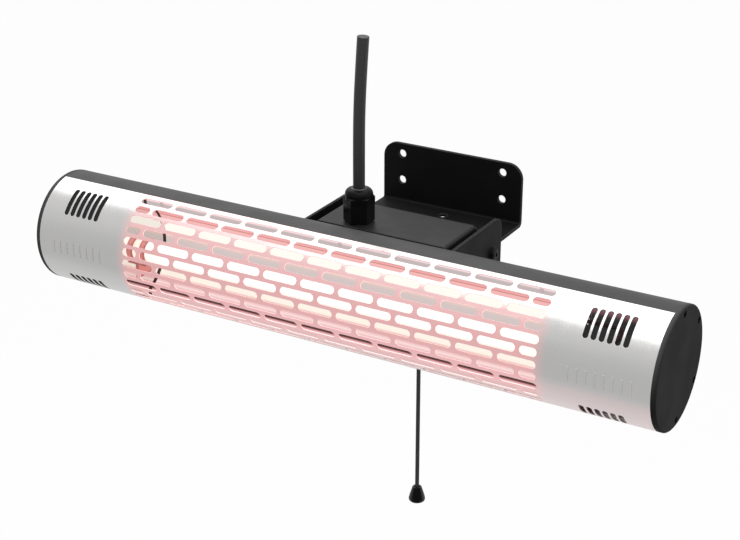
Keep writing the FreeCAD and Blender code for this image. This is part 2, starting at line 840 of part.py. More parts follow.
def terminal_box():
    """Return the cast box with its neck to the tube, pivot bosses, posts and gland hole."""
    body = prism_x(box_outline(0), (-box_half_width, box_half_width))
    folds = [(box_shoulder_round, box_shoulder, box_top), (box_tail_round, box_rear, box_tail_top)]
    for radius, y, z in folds:
        body = body.makeFillet(radius, picked(body, "x", box_half_width, y=y, z=z))
    body = body.makeFillet(box_side_round, picked(body, "y", (box_shoulder - box_front) / 2, z=box_top))
    body = body.makeFillet(box_edge_round, picked(body, "x", box_half_width, y=box_front, z=box_top))
    wall_x = box_half_width - box_wall
    body = body.cut(prism_x(box_outline(box_wall), (-wall_x, wall_x)))
    boss = rod_x(pivot_boss_radius, (wall_x - pivot_boss_depth, pivot_boss_face), pivot_y, 0)
    adds = pair(boss)
    for x, y in cover_posts():
        adds.append(rod_z(cover_post_radius, x, y, (box_bottom, ceiling + overshoot)))
    middle_y = sum(block_y) / 2
    for x in (block_x[0] + block_post_radius, block_x[1] - block_post_radius):
        adds.append(rod_z(block_post_radius, x, middle_y, (block_z[1], ceiling + overshoot)))
    neck_x = (-neck_half_width, neck_half_width)
    neck = block(neck_x, (0, box_front + overshoot), (-neck_half_height, neck_half_height))
    seat = tube_radius + saddle_gasket_wall + snug_gap
    body = body.fuse(adds + [neck.cut(rod_x(seat, neck_x, 0, 0))])
    cuts = saddle_openings(saddle_screw_radius + snug_gap)
    cuts.append(block((-neck_hole_half_width, neck_hole_half_width),
                      (box_front - overshoot, box_front + box_wall),
                      (-neck_hole_half_height, neck_hole_half_height)))
    shaft = rod_x(pivot_radius + pivot_fit, (wall_x - pivot_boss_depth, pivot_boss_face), pivot_y, 0)
    cuts += pair(shaft)
    for x, y in cover_posts():
        depth = (box_bottom, box_bottom + cover_screw_length)
        cuts.append(rod_z(cover_screw_radius + snug_gap, x, y, depth))
    cuts.append(rod_z(gland_thread_radius + gland_gap, gland_x, gland_y, (ceiling, box_top)))
    return body.cut(cuts)


def cover_plan(margin, rear_margin, z):
    """Return a flat plate under the box opening; its rear edge keeps to the line of the box's heel."""
    rear = pivot_y + cover_bottom + box_heel - rear_margin
    return block((margin - box_half_width, box_half_width - margin), (box_front + margin, rear), z)


def cover_drillings(radius, z):
    """Return the screw holes through the cover or its gasket."""
    return [rod_z(radius, x, y, z) for x, y in cover_posts()]


def cover_gasket():
    """Return the flat seal between the box and its cover."""
    z = (cover_top, box_bottom)
    ring = cover_plan(0, 0, z).cut(cover_plan(box_wall, gasket_rear_lip, z))
    pads = [rod_z(cover_post_radius, x, y, z) for x, y in cover_posts()]
    return ring.fuse(pads).cut(cover_drillings(cover_screw_radius + hole_gap, z))


def box_cover():
    """Return the bottom cover of the box with the nozzle that guides the pull rod."""
    z = (cover_bottom, cover_top)
    plate = cover_plan(0, 0, z)
    plate = plate.makeFillet(cover_corner, picked(plate, "z", cover_wall / 2))
    nozzle = rod_z(nozzle_radius, pull_x, pull_y, (nozzle_bottom, cover_top))
    cover = plate.fuse(nozzle)
    bore = rod_z(rod_bore, pull_x, pull_y, (nozzle_bottom, cover_top))
    flare = Part.makeCone(rod_bore + nozzle_flare, rod_bore, nozzle_flare, V(pull_x, pull_y, nozzle_bottom))
    return cover.cut([bore, flare] + cover_drillings(cover_screw_radius + hole_gap, z))


def cover_screws():
    """Return the screws that hold the cover from below."""
    screws = []
    for x, y in cover_posts():
        shank = rod_z(cover_screw_radius, x, y, (cover_bottom, box_bottom + cover_screw_length - overshoot))
        head = rod_z(cover_head_radius, x, y, (cover_bottom - cover_head_height, cover_bottom))
        start = V(x, y, cover_bottom - cover_head_height)
        drive = hexagon(cover_head_radius, start, V(0, 0, 1), cover_head_height / 2, V(1, 0, 0))
        screws.append(shank.fuse(head).cut(drive))
    return screws


def saddle_gasket():
    """Return the curved seal between the tube and the neck of the box."""
    inner = tube_radius + snug_gap
    outer = tube_radius + saddle_gasket_wall
    angle = math.degrees(math.asin(neck_half_height / outer))
    pad = sector(inner, outer, -angle, angle, (-neck_half_width, neck_half_width))
    return pad.cut(saddle_openings(saddle_screw_radius + hole_gap))


def saddle_screws():
    """Return the screws that hold the tube to the neck from inside the housing."""
    reach = saddle_screw_z + saddle_head_radius
    seat = math.sqrt(housing_inner ** 2 - reach ** 2)
    screws = []
    for x in (-saddle_screw_x, saddle_screw_x):
        for z in (-saddle_screw_z, saddle_screw_z):
            head = rod_y(saddle_head_radius, x, (seat - saddle_head_height, seat), z)
            shank = rod_y(saddle_screw_radius, x, (seat, seat + saddle_screw_length), z)
            screws.append(head.fuse(shank))
    return screws


def gland_ring(inner, outer, z):
    """Return a ring about the gland's axis."""
    return rod_z(outer, gland_x, gland_y, z).cut(rod_z(inner, gland_x, gland_y, z))


def gland_washer():
    """Return the flat seal under the gland."""
    return gland_ring(gland_thread_radius + gland_gap, gland_body_flats / 2 - gland_washer_inset,
                      (box_top, box_top + gland_washer_wall))


def gland_body():
    """Return the hexagonal gland body with its threaded tail through the box and its neck under the nut."""
    foot = ceiling - gland_tail
    base = box_top + gland_washer_wall
    neck_top = gland_body_top + gland_neck_height
    seat = neck_top - gland_seal_height
    start = V(gland_x, gland_y, base)
    grip = hexagon(gland_body_flats, start, V(0, 0, 1), gland_body_top - base, V(0, 1, 0))
    thread = rod_z(gland_thread_radius, gland_x, gland_y, (foot, base))
    neck = rod_z(gland_neck_radius, gland_x, gland_y, (gland_body_top, neck_top))
    bore = rod_z(gland_bore_radius, gland_x, gland_y, (foot, seat))
    pocket = rod_z(seal_outer, gland_x, gland_y, (seat, neck_top))
    return grip.fuse([thread, neck]).cut([bore, pocket])


def gland_seal():
    """Return the rubber ring that grips the supply cord."""
    top = gland_body_top + gland_neck_height
    return gland_ring(cord_radius + cord_gap, seal_outer - gland_gap, (top - gland_seal_height, top))


def gland_dome_nut():
    """Return the hexagonal nut of the gland with its domed top."""
    start = V(gland_x, gland_y, gland_body_top)
    corner = gland_flats / math.sqrt(3)
    chamfer = [
        (0, gland_body_top),
        (corner, gland_body_top),
        (corner, gland_nut_top - gland_nut_chamfer),
        (corner - 2 * gland_nut_chamfer, gland_nut_top),
        (0, gland_nut_top),
    ]
    body = hexagon(gland_flats, start, V(0, 0, 1), gland_nut_height, V(0, 1, 0))
    body = body.common(lathe_z(chamfer, gland_x, gland_y))
    dome = rod_z(gland_dome_radius, gland_x, gland_y, (gland_nut_top - gland_nut_height / 2, gland_top))
    rim = picked(dome, "x", gland_dome_radius, z=gland_top)
    body = body.fuse(dome.makeFillet(gland_dome_round, rim))
    neck_top = gland_body_top + gland_neck_height + gland_gap
    hollow = rod_z(gland_neck_radius + gland_gap, gland_x, gland_y, (gland_body_top, neck_top))
    mouth = rod_z(cord_radius + cord_gap, gland_x, gland_y, (neck_top, gland_top))
    return body.cut([hollow, mouth])


def gland_locknut():
    """Return the nut that holds the gland from inside the box."""
    foot = ceiling - locknut_height
    nut = hexagon(locknut_flats, V(gland_x, gland_y, foot), V(0, 0, 1), locknut_height, V(1, 0, 0))
    return nut.cut(rod_z(gland_thread_radius + gland_gap, gland_x, gland_y, (foot, ceiling)))


def cord_tail():
    """Return the stretch of supply cord inside the gland."""
    return rod_z(cord_radius, gland_x, gland_y, (cord_inner_end, cord_start))


def power_cord():
    """Return the free stretch of supply cord above the gland."""
    points = [V(*point) for point in cord_points]
    return tube_along("power cord", points, cord_radii(points), cord_radius)


def supply_cores():
    """Return the three cores from the end of the supply cord to the terminal block."""
    cores = []
    for index in (-1, 0, 1):
        y = gland_y + index * core_spacing
        points = [V(gland_x, y, cord_inner_end), V(gland_x, y, core_level), V(block_x[0], y, core_level)]
        cores.append(tube_along("supply core", points, [core_bend], core_radius))
    return cores


def pole_places():
    """Return the X places of the poles of the terminal block."""
    pitch = (block_x[1] - block_x[0]) / block_poles
    return [block_x[0] + pitch * (index + 0.5) for index in range(block_poles)]


def terminal_block():
    """Return the terminal block with the wells of its clamp screws."""
    body = block(block_x, block_y, block_z)
    body = body.makeFillet(block_corner, picked(body, "z", (block_z[1] - block_z[0]) / 2))
    middle_y = sum(block_y) / 2
    depth = (block_z[0], block_z[0] + block_screw_depth)
    wells = [rod_z(block_screw_radius + hole_gap, x, middle_y, depth) for x in pole_places()]
    return body.cut(wells)


def terminal_screws():
    """Return the clamp screws of the terminal block."""
    middle_y = sum(block_y) / 2
    z = (block_z[0] + block_screw_sink, block_z[0] + block_screw_depth)
    return [rod_z(block_screw_radius, x, middle_y, z) for x in pole_places()]


def pull_switch():
    """Return the body of the pull switch with the chamber of its rod."""
    x = (pull_x - switch_half, pull_x + switch_half)
    y = (pull_y - switch_half, pull_y + switch_half)
    z = (cover_top, cover_top + switch_height)
    body = block(x, y, z)
    body = body.makeFillet(switch_corner, picked(body, "z", switch_height / 2))
    chamber_z = (z[0] + switch_wall, z[0] + switch_wall + switch_chamber)
    chamber = rod_z(rod_collar_radius + chamber_gap, pull_x, pull_y, chamber_z)
    return body.cut([chamber, rod_z(rod_bore, pull_x, pull_y, (z[0], z[0] + switch_wall))])


def switch_leads():
    """Return the two leads from the switch to the terminal block."""
    top = cover_top + switch_height
    leads = []
    for side in (-1, 1):
        x = pull_x + side * switch_lead_inset - switch_lead_inset
        start = V(x, pull_y - switch_half + switch_lead_inset, top)
        level = top + switch_lead_bend + core_radius * 2
        points = [start, V(start.x, start.y, level), V(start.x, block_y[1], level)]
        leads.append(tube_along("switch lead", points, [switch_lead_bend], core_radius))
    return leads


def pull_rod():
    """Return the sliding rod of the switch, with its collar and the flat eye under the nozzle."""
    top = cover_top + switch_height - switch_wall - rod_top_gap
    rod = rod_z(rod_radius, pull_x, pull_y, (eye_z, top))
    collar = rod_z(rod_collar_radius, pull_x, pull_y, (top - rod_collar_height, top))
    x = (pull_x - eye_half_wall, pull_x + eye_half_wall)
    eye = rod_x(eye_radius, x, pull_y, eye_z)
    hole = rod_x(eye_pin_radius + pin_fit, (x[0] - eye_half_wall, x[1] + eye_half_wall), pull_y, eye_z)
    return rod.fuse([collar, eye]).cut(hole)


def cord_clip():
    """Return the little fork that hangs in the eye and grips the pull cord."""
    inner = eye_half_wall + clip_gap
    outer = inner + clip_cheek
    x = (pull_x - outer, pull_x + outer)
    y = (pull_y - clip_half_depth, pull_y + clip_half_depth)
    body = block(x, y, (clip_bottom, eye_z))
    body = body.fuse(rod_x(clip_half_depth, x, pull_y, eye_z))
    gap_y = (y[0] - overshoot, y[1] + overshoot)
    gap_z = (clip_floor_top, eye_z + clip_half_depth + overshoot)
    gap = block((pull_x - inner, pull_x + inner), gap_y, gap_z)
    pin = rod_x(eye_pin_radius, x, pull_y, eye_z)
    socket_z = (clip_bottom, clip_bottom + pull_cord_sink)
    socket = rod_z(pull_cord_radius + pull_cord_gap, pull_x, pull_y, socket_z)
    return body.cut(gap).fuse(pin).cut(socket)


def pull_cord():
    """Return the straight weighted pull cord."""
    return rod_z(pull_cord_radius, pull_x, pull_y, (knot_top, clip_bottom + pull_cord_sink))


def pull_knob():
    """Return the bell-shaped knob with the hollow that hides the knot."""
    profile = [
        (pull_cord_radius + pull_cord_gap, knob_top),
        (knob_neck_radius - knob_top_chamfer, knob_top),
        (knob_neck_radius, knob_top - knob_top_chamfer),
        (knob_neck_radius + knob_neck_draft, knob_top - knob_collar),
        (knob_radius - knob_belly_inset, knob_bottom + knob_lip + knob_belly_rise),
        (knob_radius, knob_bottom + knob_lip),
        (knob_radius - knob_belly_inset, knob_bottom + knob_foot_rise),
        (knob_radius - knob_foot_inset, knob_bottom),
        (knob_cavity_radius, knob_bottom),
        (knob_cavity_radius, knot_top - knob_cavity_chamfer),
        (knob_cavity_radius - knob_cavity_chamfer, knot_top),
        (pull_cord_radius + pull_cord_gap, knot_top),
    ]
    return lathe_z(profile, pull_x, pull_y)


def cord_knot():
    """Return the knot under the knob's shoulder, as a rounded barrel."""
    waist = knot_radius * knot_waist_share
    foot = knot_top - knot_radius - 2 * waist
    profile = [
        (0, knot_top),
        (waist, knot_top),
        (knot_radius, knot_top - waist),
        (knot_radius, foot + waist),
        (waist, foot),
        (0, foot),
    ]
    return lathe_z(profile, pull_x, pull_y)


def write(name, shapes):
    """Move a node's solids from the tube's axis to the wall frame and write its STEP file."""
    shapes = shapes if isinstance(shapes, list) else [shapes]
    placed = []
    for shape in shapes:
        for solid in shape.Solids:
            solid = solid.copy()
            solid.translate(V(0, -wall_to_axis, -bolts_above_axis))
            placed.append(solid)
    node = placed[0] if len(placed) == 1 else Part.makeCompound(placed)
    if not node.isValid():
        print("not valid:", name)
    node.exportStep("parts/" + name + ".step")
    print(name, "solids", len(placed), "volume", round(sum(solid.Volume for solid in placed), 1))


def main():
    """Build every piece and write it."""
    os.makedirs("parts", exist_ok=True)
    write("wall_plate", wall_plate())
    handed = {
        "cheek": right_cheek(),
        "end_cap": right_end_cap(),
        "bulkhead": right_bulkhead(),
        "ceramic_end": right_ceramic_end(),
        "lamp_clip": right_lamp_clip(),
    }
    for name, right in handed.items():
        write("right_" + name, right)
        write("left_" + name, mirrored(right, V(1, 0, 0)))
    write("pivot_bolts", pair(right_pivot_bolt()))
    write("pivot_washers", pair(right_pivot_washer()))
    write("friction_washers", pair(right_friction_washer()))
    write("pivot_nuts", pair(right_pivot_nut()))
    write("rear_housing", rear_housing())
    write("front_grille", front_grille())
    write("end_cap_screws", end_cap_screws())
    write("reflector", reflector())
    write("seam_rivets", seam_rivets())
    write("quartz_tube", quartz_tube())
    write("heating_filament", heating_filament())
    write("right_lead", inner_lead(1))
    write("left_lead", inner_lead(-1))
    write("terminal_box", terminal_box())
    write("cover_gasket", cover_gasket())
    write("box_cover", box_cover())
    write("cover_screws", cover_screws())
    write("saddle_gasket", saddle_gasket())
    write("saddle_screws", saddle_screws())
    write("gland_washer", gland_washer())
    write("gland_body", gland_body())
    write("gland_seal", gland_seal())
    write("gland_dome_nut", gland_dome_nut())
    write("gland_locknut", gland_locknut())
    write("cord_tail", cord_tail())
    write("power_cord", power_cord())
    write("supply_cores", supply_cores())
    write("terminal_block", terminal_block())
    write("terminal_screws", terminal_screws())
    write("pull_switch", pull_switch())
    write("switch_leads", switch_leads())
    write("pull_rod", pull_rod())
    write("cord_clip", cord_clip())
    write("pull_cord", pull_cord())
    write("pull_knob", pull_knob())
    write("cord_knot", cord_knot())


main()
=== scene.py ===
"""Looks of a wall-mounted patio heater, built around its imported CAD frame.

Metres, in the frame's own axes: X runs along the tube, the grille faces -Y, Z is up, and the
origin is the middle of the wall bolts.
"""
import logging
import math
from dataclasses import dataclass
from enum import Enum
from typing import Any, Sequence

import bpy
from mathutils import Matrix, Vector


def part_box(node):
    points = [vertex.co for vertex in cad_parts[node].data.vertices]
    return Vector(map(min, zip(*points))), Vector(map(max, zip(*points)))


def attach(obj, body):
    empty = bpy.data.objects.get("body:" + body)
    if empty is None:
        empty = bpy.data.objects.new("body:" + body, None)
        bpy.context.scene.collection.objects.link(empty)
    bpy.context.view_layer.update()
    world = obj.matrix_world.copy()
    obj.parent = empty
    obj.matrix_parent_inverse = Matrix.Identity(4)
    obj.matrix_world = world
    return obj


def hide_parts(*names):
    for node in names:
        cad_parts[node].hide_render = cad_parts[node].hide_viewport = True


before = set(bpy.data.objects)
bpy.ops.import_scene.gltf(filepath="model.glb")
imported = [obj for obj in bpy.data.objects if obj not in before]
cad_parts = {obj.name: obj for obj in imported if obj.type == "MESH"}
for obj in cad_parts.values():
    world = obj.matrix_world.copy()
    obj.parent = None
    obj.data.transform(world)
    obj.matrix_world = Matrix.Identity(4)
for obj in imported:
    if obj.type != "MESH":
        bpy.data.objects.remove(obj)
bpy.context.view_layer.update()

log = logging.getLogger("patio_heater")

Colour = tuple[float, float, float]
Point = tuple[float, float, float]
Span = tuple[float, float]
Socket = bpy.types.NodeSocket

BLACK: Colour = (0.0, 0.0, 0.0)
WHITE: Colour = (1.0, 1.0, 1.0)
NOISE_SPAN: Span = (0.3, 0.7)  # where most of a noise lies
RING_POINTS = 32
CORD_ROUNDNESS = 8
CORD_STEPS = 24
CORD_ORDER = 3


class Body(Enum):
    """The CAD bodies that new pieces ride on."""

    HEATER = "heater"
    HANGING = "hanging_pull"


class ShaderInput(Enum):
    """The inputs of the Principled BSDF that the finishes set."""

    COLOUR = "Base Color"
    METALLIC = "Metallic"
    ROUGHNESS = "Roughness"
    NORMAL = "Normal"
    SPECULAR = "Specular IOR Level"
    TRANSMISSION = "Transmission Weight"
    GLOW = "Emission Color"
    GLOW_STRENGTH = "Emission Strength"


def grey(level: float) -> Colour:
    """Return a neutral colour."""
    return level, level, level


def scaled(colour: Colour, factor: float) -> Colour:
    """Return a lighter or darker colour."""
    return colour[0] * factor, colour[1] * factor, colour[2] * factor


class Graph:
    """Adds nodes to one node tree and wires them up."""

    def __init__(self, tree: bpy.types.NodeTree) -> None:
        """Keep the tree that the nodes go into."""
        self.tree = tree

    def find(self, kind: str) -> bpy.types.Node:
        """Return the tree's first node of a kind."""
        return next(node for node in self.tree.nodes if node.type == kind)

    def plug(self, socket: Socket, value: Any) -> None:
        """Feed an input from another socket, or set it to a plain value.

        Args:
            socket: The input.
            value: An output socket, a number, or a colour or vector of three numbers.
        """
        if isinstance(value, Socket):
            self.tree.links.new(value, socket)
        elif socket.type == "RGBA":
            socket.default_value = (*value, 1.0)
        else:
            socket.default_value = value

    def add(self, kind: str, inputs: dict[Any, Any] | None = None,
            **settings: Any) -> bpy.types.Node:
        """Add one node.

        Args:
            kind: The node's type name.
            inputs: Socket name or number to a value, or to the output socket that feeds it.
            settings: Attributes of the node.

        Returns:
            The new node.
        """
        node = self.tree.nodes.new(kind)
        for name, value in settings.items():
            setattr(node, name, value)
        for key, value in (inputs or {}).items():
            self.plug(node.inputs[key], value)
        return node

    def point(self) -> Socket:
        """Return a point's coordinates in its own object."""
        return self.add("ShaderNodeTexCoord").outputs["Object"]

    def maths(self, operation: str, first: Any, second: Any = 0.0) -> Socket:
        """Return the result of a Math node on one or two values or sockets."""
        return self.add("ShaderNodeMath", {0: first, 1: second}, operation=operation).outputs[0]

    def ramp(self, value: Any, low: Any, high: Any, start: float = 0.0,
             end: float = 1.0) -> Socket:
        """Map a value smoothly from one range to another.

        Args:
            value: The socket to map.
            low: The value that gives start.
            high: The value that gives end.
            start: The result at low.
            end: The result at high.

        Returns:
            The mapped socket.
        """
        node = self.add("ShaderNodeMapRange", {0: value, 1: low, 2: high, 3: start, 4: end},
                        interpolation_type="SMOOTHSTEP")
        return node.outputs[0]

    def spread(self, noise: Socket, middle: float, reach: float) -> Socket:
        """Return a value that a noise moves a little to both sides of its middle."""
        return self.ramp(noise, *NOISE_SPAN, middle - reach, middle + reach)

    def mix(self, share: Any, first: Any, second: Any) -> Socket:
        """Return a mix of two colours, where the share says how much of the second shows."""
        node = self.add("ShaderNodeMix", {0: share, 6: first, 7: second}, data_type="RGBA")
        return node.outputs[2]

    def dimmed(self, share: Socket, colour: Colour, dim: float) -> Socket:
        """Return a colour that is dimmed where the share is low."""
        return self.mix(share, scaled(colour, dim), colour)

    def bands(self, value: Any, stops: Sequence[tuple[float, Colour]]) -> Socket:
        """Colour a value by bands.

        Args:
            value: The socket to read.
            stops: Rising pairs of a value and the colour there.

        Returns:
            The colour.
        """
        low, high = stops[0][0], stops[-1][0]
        share = self.add("ShaderNodeMapRange", {0: value, 1: low, 2: high}).outputs[0]
        node = self.add("ShaderNodeValToRGB", {0: share})
        for place, _ in stops[1:-1]:
            node.color_ramp.elements.new((place - low) / (high - low))
        for element, (_, colour) in zip(node.color_ramp.elements, stops):
            element.color = (*colour, 1.0)
        return node.outputs[0]

    def noise(self, point: Socket, scale: Socket, detail: float) -> Socket:
        """Return a noise over a point's coordinates."""
        inputs = {"Vector": point, "Scale": scale, "Detail": detail}
        return self.add("ShaderNodeTexNoise", inputs).outputs[0]

    def bump(self, height: Socket, depth: float, normal: Socket | None = None) -> Socket:
        """Raise a surface by a height.

        Args:
            height: The socket to read.
            depth: How far it rises.
            normal: The normal to start from, if it isn't the surface's own.

        Returns:
            The new normal.
        """
        inputs = {"Height": height, "Distance": depth}
        if normal is not None:
            inputs["Normal"] = normal
        return self.add("ShaderNodeBump", inputs).outputs[0]

    def rays(self) -> tuple[Socket, Socket]:
        """Tell views from reflections.

        Returns:
            The mask of what is seen plainly or through glass, and the mask of what is mirrored.
        """
        path = self.add("ShaderNodeLightPath").outputs
        plain = self.maths("MAXIMUM", path["Is Camera Ray"], path["Is Transmission Ray"])
        return plain, path["Is Glossy Ray"]

    def group(self, tree: bpy.types.NodeTree, **inputs: Any) -> bpy.types.NodeOutputs:
        """Place a node group.

        Args:
            tree: The group.
            inputs: Its values or sockets, named by its titles in small letters with underscores.

        Returns:
            Its outputs.
        """
        node = self.add("ShaderNodeGroup", node_tree=tree)
        for name, value in inputs.items():
            self.plug(node.inputs[name.replace("_", " ").title()], value)
        return node.outputs


class Effects:
    """The node groups that more than one finish uses, each built once."""

    FINE_DETAIL = 2.0
    MOTTLE_DETAIL = 4.0
    LINE_DETAIL = 5.0
    WAVE_DETAIL = 2.0
    LINE_STRETCH: Point = (1.0, 0.02, 0.02)
    EDGE_SAMPLES = 6
    EDGE_SPAN: Span = (1.0, 0.8)  # cosines from flat to a full edge
    RIGHT_SPAN: Span = (0.0, 0.2)
    # the heat mask marks where the element's painted light falls; these heights are where it fades
    TOP_SPAN: Span = (0.030, 0.048)  # heights over which the heat fades
    TOP_LOSS = 0.8
    BOTTOM_SPAN: Span = (-0.024, -0.041)
    BOTTOM_LOSS = 0.92

    def __init__(self) -> None:
        """Find the tube's axis and build every group."""
        low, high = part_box("right_end_cap")
        self.axis_y = (low.y + high.y) / 2
        self.axis_z = (low.z + high.z) / 2
        self.grain = self._grain()
        self.brushed = self._brushed()
        self.edges = self._edges()
        self.place = self._place()
        self.heat = self._heat()

    @staticmethod
    def _start(name: str, inputs: Sequence[str],
               outputs: dict[str, str]) -> tuple[Graph, Any, Any]:
        """Start a node group.

        Args:
            name: The group's name.
            inputs: The titles of its number inputs.
            outputs: The titles of its outputs, with Float or Vector.

        Returns:
            The group's graph, the sockets of its inputs and the sockets of its outputs.
        """
        tree = bpy.data.node_groups.new(name, "ShaderNodeTree")
        for title in inputs:
            tree.interface.new_socket(title, in_out="INPUT", socket_type="NodeSocketFloat")
        for title, kind in outputs.items():
            tree.interface.new_socket(title, in_out="OUTPUT", socket_type="NodeSocket" + kind)
        graph = Graph(tree)
        return graph, graph.add("NodeGroupInput").outputs, graph.add("NodeGroupOutput").inputs

    def _grain(self) -> bpy.types.NodeTree:
        """Build the fine grain and the broad mottle of a coat or a moulding.

        Returns:
            The node group.
        """
        graph, given, result = self._start("coat_grain", ("Grain Scale", "Mottle Scale"),
                                           {"Height": "Float", "Mottle": "Float"})
        point = graph.point()
        graph.plug(result[0], graph.noise(point, given[0], self.FINE_DETAIL))
        graph.plug(result[1], graph.noise(point, given[1], self.MOTTLE_DETAIL))
        return graph.tree

    def _brushed(self) -> bpy.types.NodeTree:
        """Build the hair lines that run round the tube and the slow waves of the sheet.

        Returns:
            The node group.
        """
        graph, given, result = self._start("brushed_sheet", ("Line Scale", "Wave Scale"),
                                           {"Lines": "Float", "Waves": "Float"})
        point = graph.point()
        drawn = graph.add("ShaderNodeMapping", {"Vector": point, "Scale": self.LINE_STRETCH})
        graph.plug(result[0], graph.noise(drawn.outputs[0], given[0], self.LINE_DETAIL))
        graph.plug(result[1], graph.noise(point, given[1], self.WAVE_DETAIL))
        return graph.tree

    def _edges(self) -> bpy.types.NodeTree:
        """Build a mask of the sharp edges and the normal that rounds them off.

        Returns:
            The node group.
        """
        graph, given, result = self._start("soft_edges", ("Radius",),
                                           {"Edge": "Float", "Normal": "Vector"})
        bevel = graph.add("ShaderNodeBevel", {"Radius": given[0]}, samples=self.EDGE_SAMPLES)
        rounded = bevel.outputs[0]
        flat = graph.add("ShaderNodeNewGeometry").outputs["Normal"]
        facing = graph.add("ShaderNodeVectorMath", {0: rounded, 1: flat}, operation="DOT_PRODUCT")
        graph.plug(result[0], graph.ramp(facing.outputs["Value"], *self.EDGE_SPAN))
        graph.plug(result[1], rounded)
        return graph.tree

    def _place(self) -> bpy.types.NodeTree:
        """Build a point's place in the tube.

        Returns:
            The node group: the place along the tube, the distance from its middle, the height
            and the radius about its axis, and a mask of its right-hand side.
        """
        titles = ("Side", "Along", "Height", "Radius", "Right")
        graph, _, result = self._start("tube_place", (), dict.fromkeys(titles, "Float"))
        to_axis = (0.0, -self.axis_y, -self.axis_z)
        moved = graph.add("ShaderNodeMapping", {"Vector": graph.point(), "Location": to_axis})
        x, y, z = graph.add("ShaderNodeSeparateXYZ", {0: moved.outputs[0]}).outputs
        squares = graph.maths("ADD", graph.maths("MULTIPLY", y, y), graph.maths("MULTIPLY", z, z))
        values = (x, graph.maths("ABSOLUTE", x), z, graph.maths("SQRT", squares),
                  graph.ramp(x, *self.RIGHT_SPAN))
        for socket, value in zip(result, values):
            graph.plug(socket, value)
        return graph.tree

    def _heat(self) -> bpy.types.NodeTree:
        """Build a mask of the stretch of tube that the element lights.

        Returns:
            The node group, whose mask fades to the tube's top and bottom.
        """
        graph, given, result = self._start("heat_zone", ("Half Length", "Softness", "Fade"),
                                           {"Mask": "Float"})
        place = graph.group(self.place)
        past = graph.maths("DIVIDE", graph.maths("SUBTRACT", place["Along"], given[0]), given[1])
        stretch = graph.ramp(past, -1.0, 1.0, 1.0, 0.0)
        rise = graph.ramp(place["Height"], *self.TOP_SPAN, 0.0, self.TOP_LOSS)
        fall = graph.ramp(place["Height"], *self.BOTTOM_SPAN, 0.0, self.BOTTOM_LOSS)
        lost = graph.maths("MULTIPLY", graph.maths("ADD", rise, fall), given[2])
        kept = graph.maths("SUBTRACT", 1.0, lost)
        graph.plug(result[0], graph.maths("MULTIPLY", stretch, kept))
        return graph.tree


class Surface(Graph):
    """A new material, with its shader and the shared node groups."""

    def __init__(self, name: str, effects: Effects | None = None) -> None:
        """Start the material.

        Args:
            name: The material's name.
            effects: The shared node groups, where the material needs them.
        """
        self.material = bpy.data.materials.new(name)
        self.material.use_nodes = True
        super().__init__(self.material.node_tree)
        self.effects = effects
        self.shader = self.find("BSDF_PRINCIPLED")

    def feed(self, name: ShaderInput, value: Any) -> None:
        """Feed or set one input of the shader."""
        self.plug(self.shader.inputs[name.value], value)

    def shine(self, colour: Socket, strength: float = 1.0) -> None:
        """Let the surface give off a colour."""
        self.feed(ShaderInput.GLOW, colour)
        self.feed(ShaderInput.GLOW_STRENGTH, strength)

    def place(self) -> bpy.types.NodeOutputs:
        """Return a point's place in the tube."""
        return self.group(self.effects.place)

    def mottle(self, scale: float) -> Socket:
        """Return a broad mottle."""
        return self.group(self.effects.grain, mottle_scale=scale)["Mottle"]


@dataclass(frozen=True)
class Finish:
    """A named look, built as one material."""

    name: str
    colour: Colour

    def wire(self, surface: Surface) -> None:
        """Wire up the new material, as each kind of finish does in its own way."""
        raise NotImplementedError

    def build(self, effects: Effects) -> bpy.types.Material:
        """Build the finish.

        Args:
            effects: The shared node groups.

        Returns:
            The new material.
        """
        surface = Surface(self.name, effects)
        self.wire(surface)
        return surface.material


@dataclass(frozen=True)
class Coat(Finish):
    """A painted, moulded or rubber surface with grain, mottle and a painted highlight along its
    sharp edges, which is painted shade where the edge colour is darker than the coat.
    """

    roughness: float
    specular: float = 0.3
    # painted highlight along sharp edges; painted shade where it is darker than the coat
    painted_edge_colour: Colour = grey(0.06)
    edge_radius: float = 0.0006
    grain_scale: float = 1800.0
    grain_depth: float = 0.00004
    mottle_scale: float = 35.0
    mottle_lift: float = 1.35
    rough_reach: float = 0.05

    def wire(self, surface: Surface) -> None:
        """Wire up the coat and plug in its colour."""
        surface.feed(ShaderInput.COLOUR, self.paint(surface))

    def paint(self, surface: Surface) -> Socket:
        """Wire up the grain, the roughness, and the painted highlight along the edges.

        Args:
            surface: The new material.

        Returns:
            The colour, which isn't plugged in yet.
        """
        grain = surface.group(surface.effects.grain, grain_scale=self.grain_scale,
                              mottle_scale=self.mottle_scale)
        mottle = grain["Mottle"]
        edges = surface.group(surface.effects.edges, radius=self.edge_radius)
        normal = surface.bump(grain["Height"], self.grain_depth, edges["Normal"])
        surface.feed(ShaderInput.NORMAL, normal)
        surface.feed(ShaderInput.ROUGHNESS,
                     surface.spread(mottle, self.roughness, self.rough_reach))
        surface.feed(ShaderInput.SPECULAR, self.specular)
        body = surface.mix(mottle, self.colour, scaled(self.colour, self.mottle_lift))
        # paint the edge colour over the sharp edges: a painted highlight, and painted shade where
        # it is darker
        return surface.mix(edges["Edge"], body, self.painted_edge_colour)


@dataclass(frozen=True)
class RimmedCoat(Coat):
    """A glossy coat with a painted sheen: a paler colour where it curves away."""

    # painted sheen: the paler colour where the surface turns away
    rim_highlight: Colour = grey(0.08)
    rim_blend: float = 0.5
    rim_span: Span = (0.14, 0.45)

    def paint(self, surface: Surface) -> Socket:
        """Add the painted sheen.

        Args:
            surface: The new material.

        Returns:
            The colour, which isn't plugged in yet.
        """
        # painted sheen: paler base colour where the surface turns away from view
        weight = surface.add("ShaderNodeLayerWeight", {"Blend": self.rim_blend})
        rim = surface.ramp(weight.outputs["Facing"], *self.rim_span)
        return surface.mix(rim, super().paint(surface), self.rim_highlight)


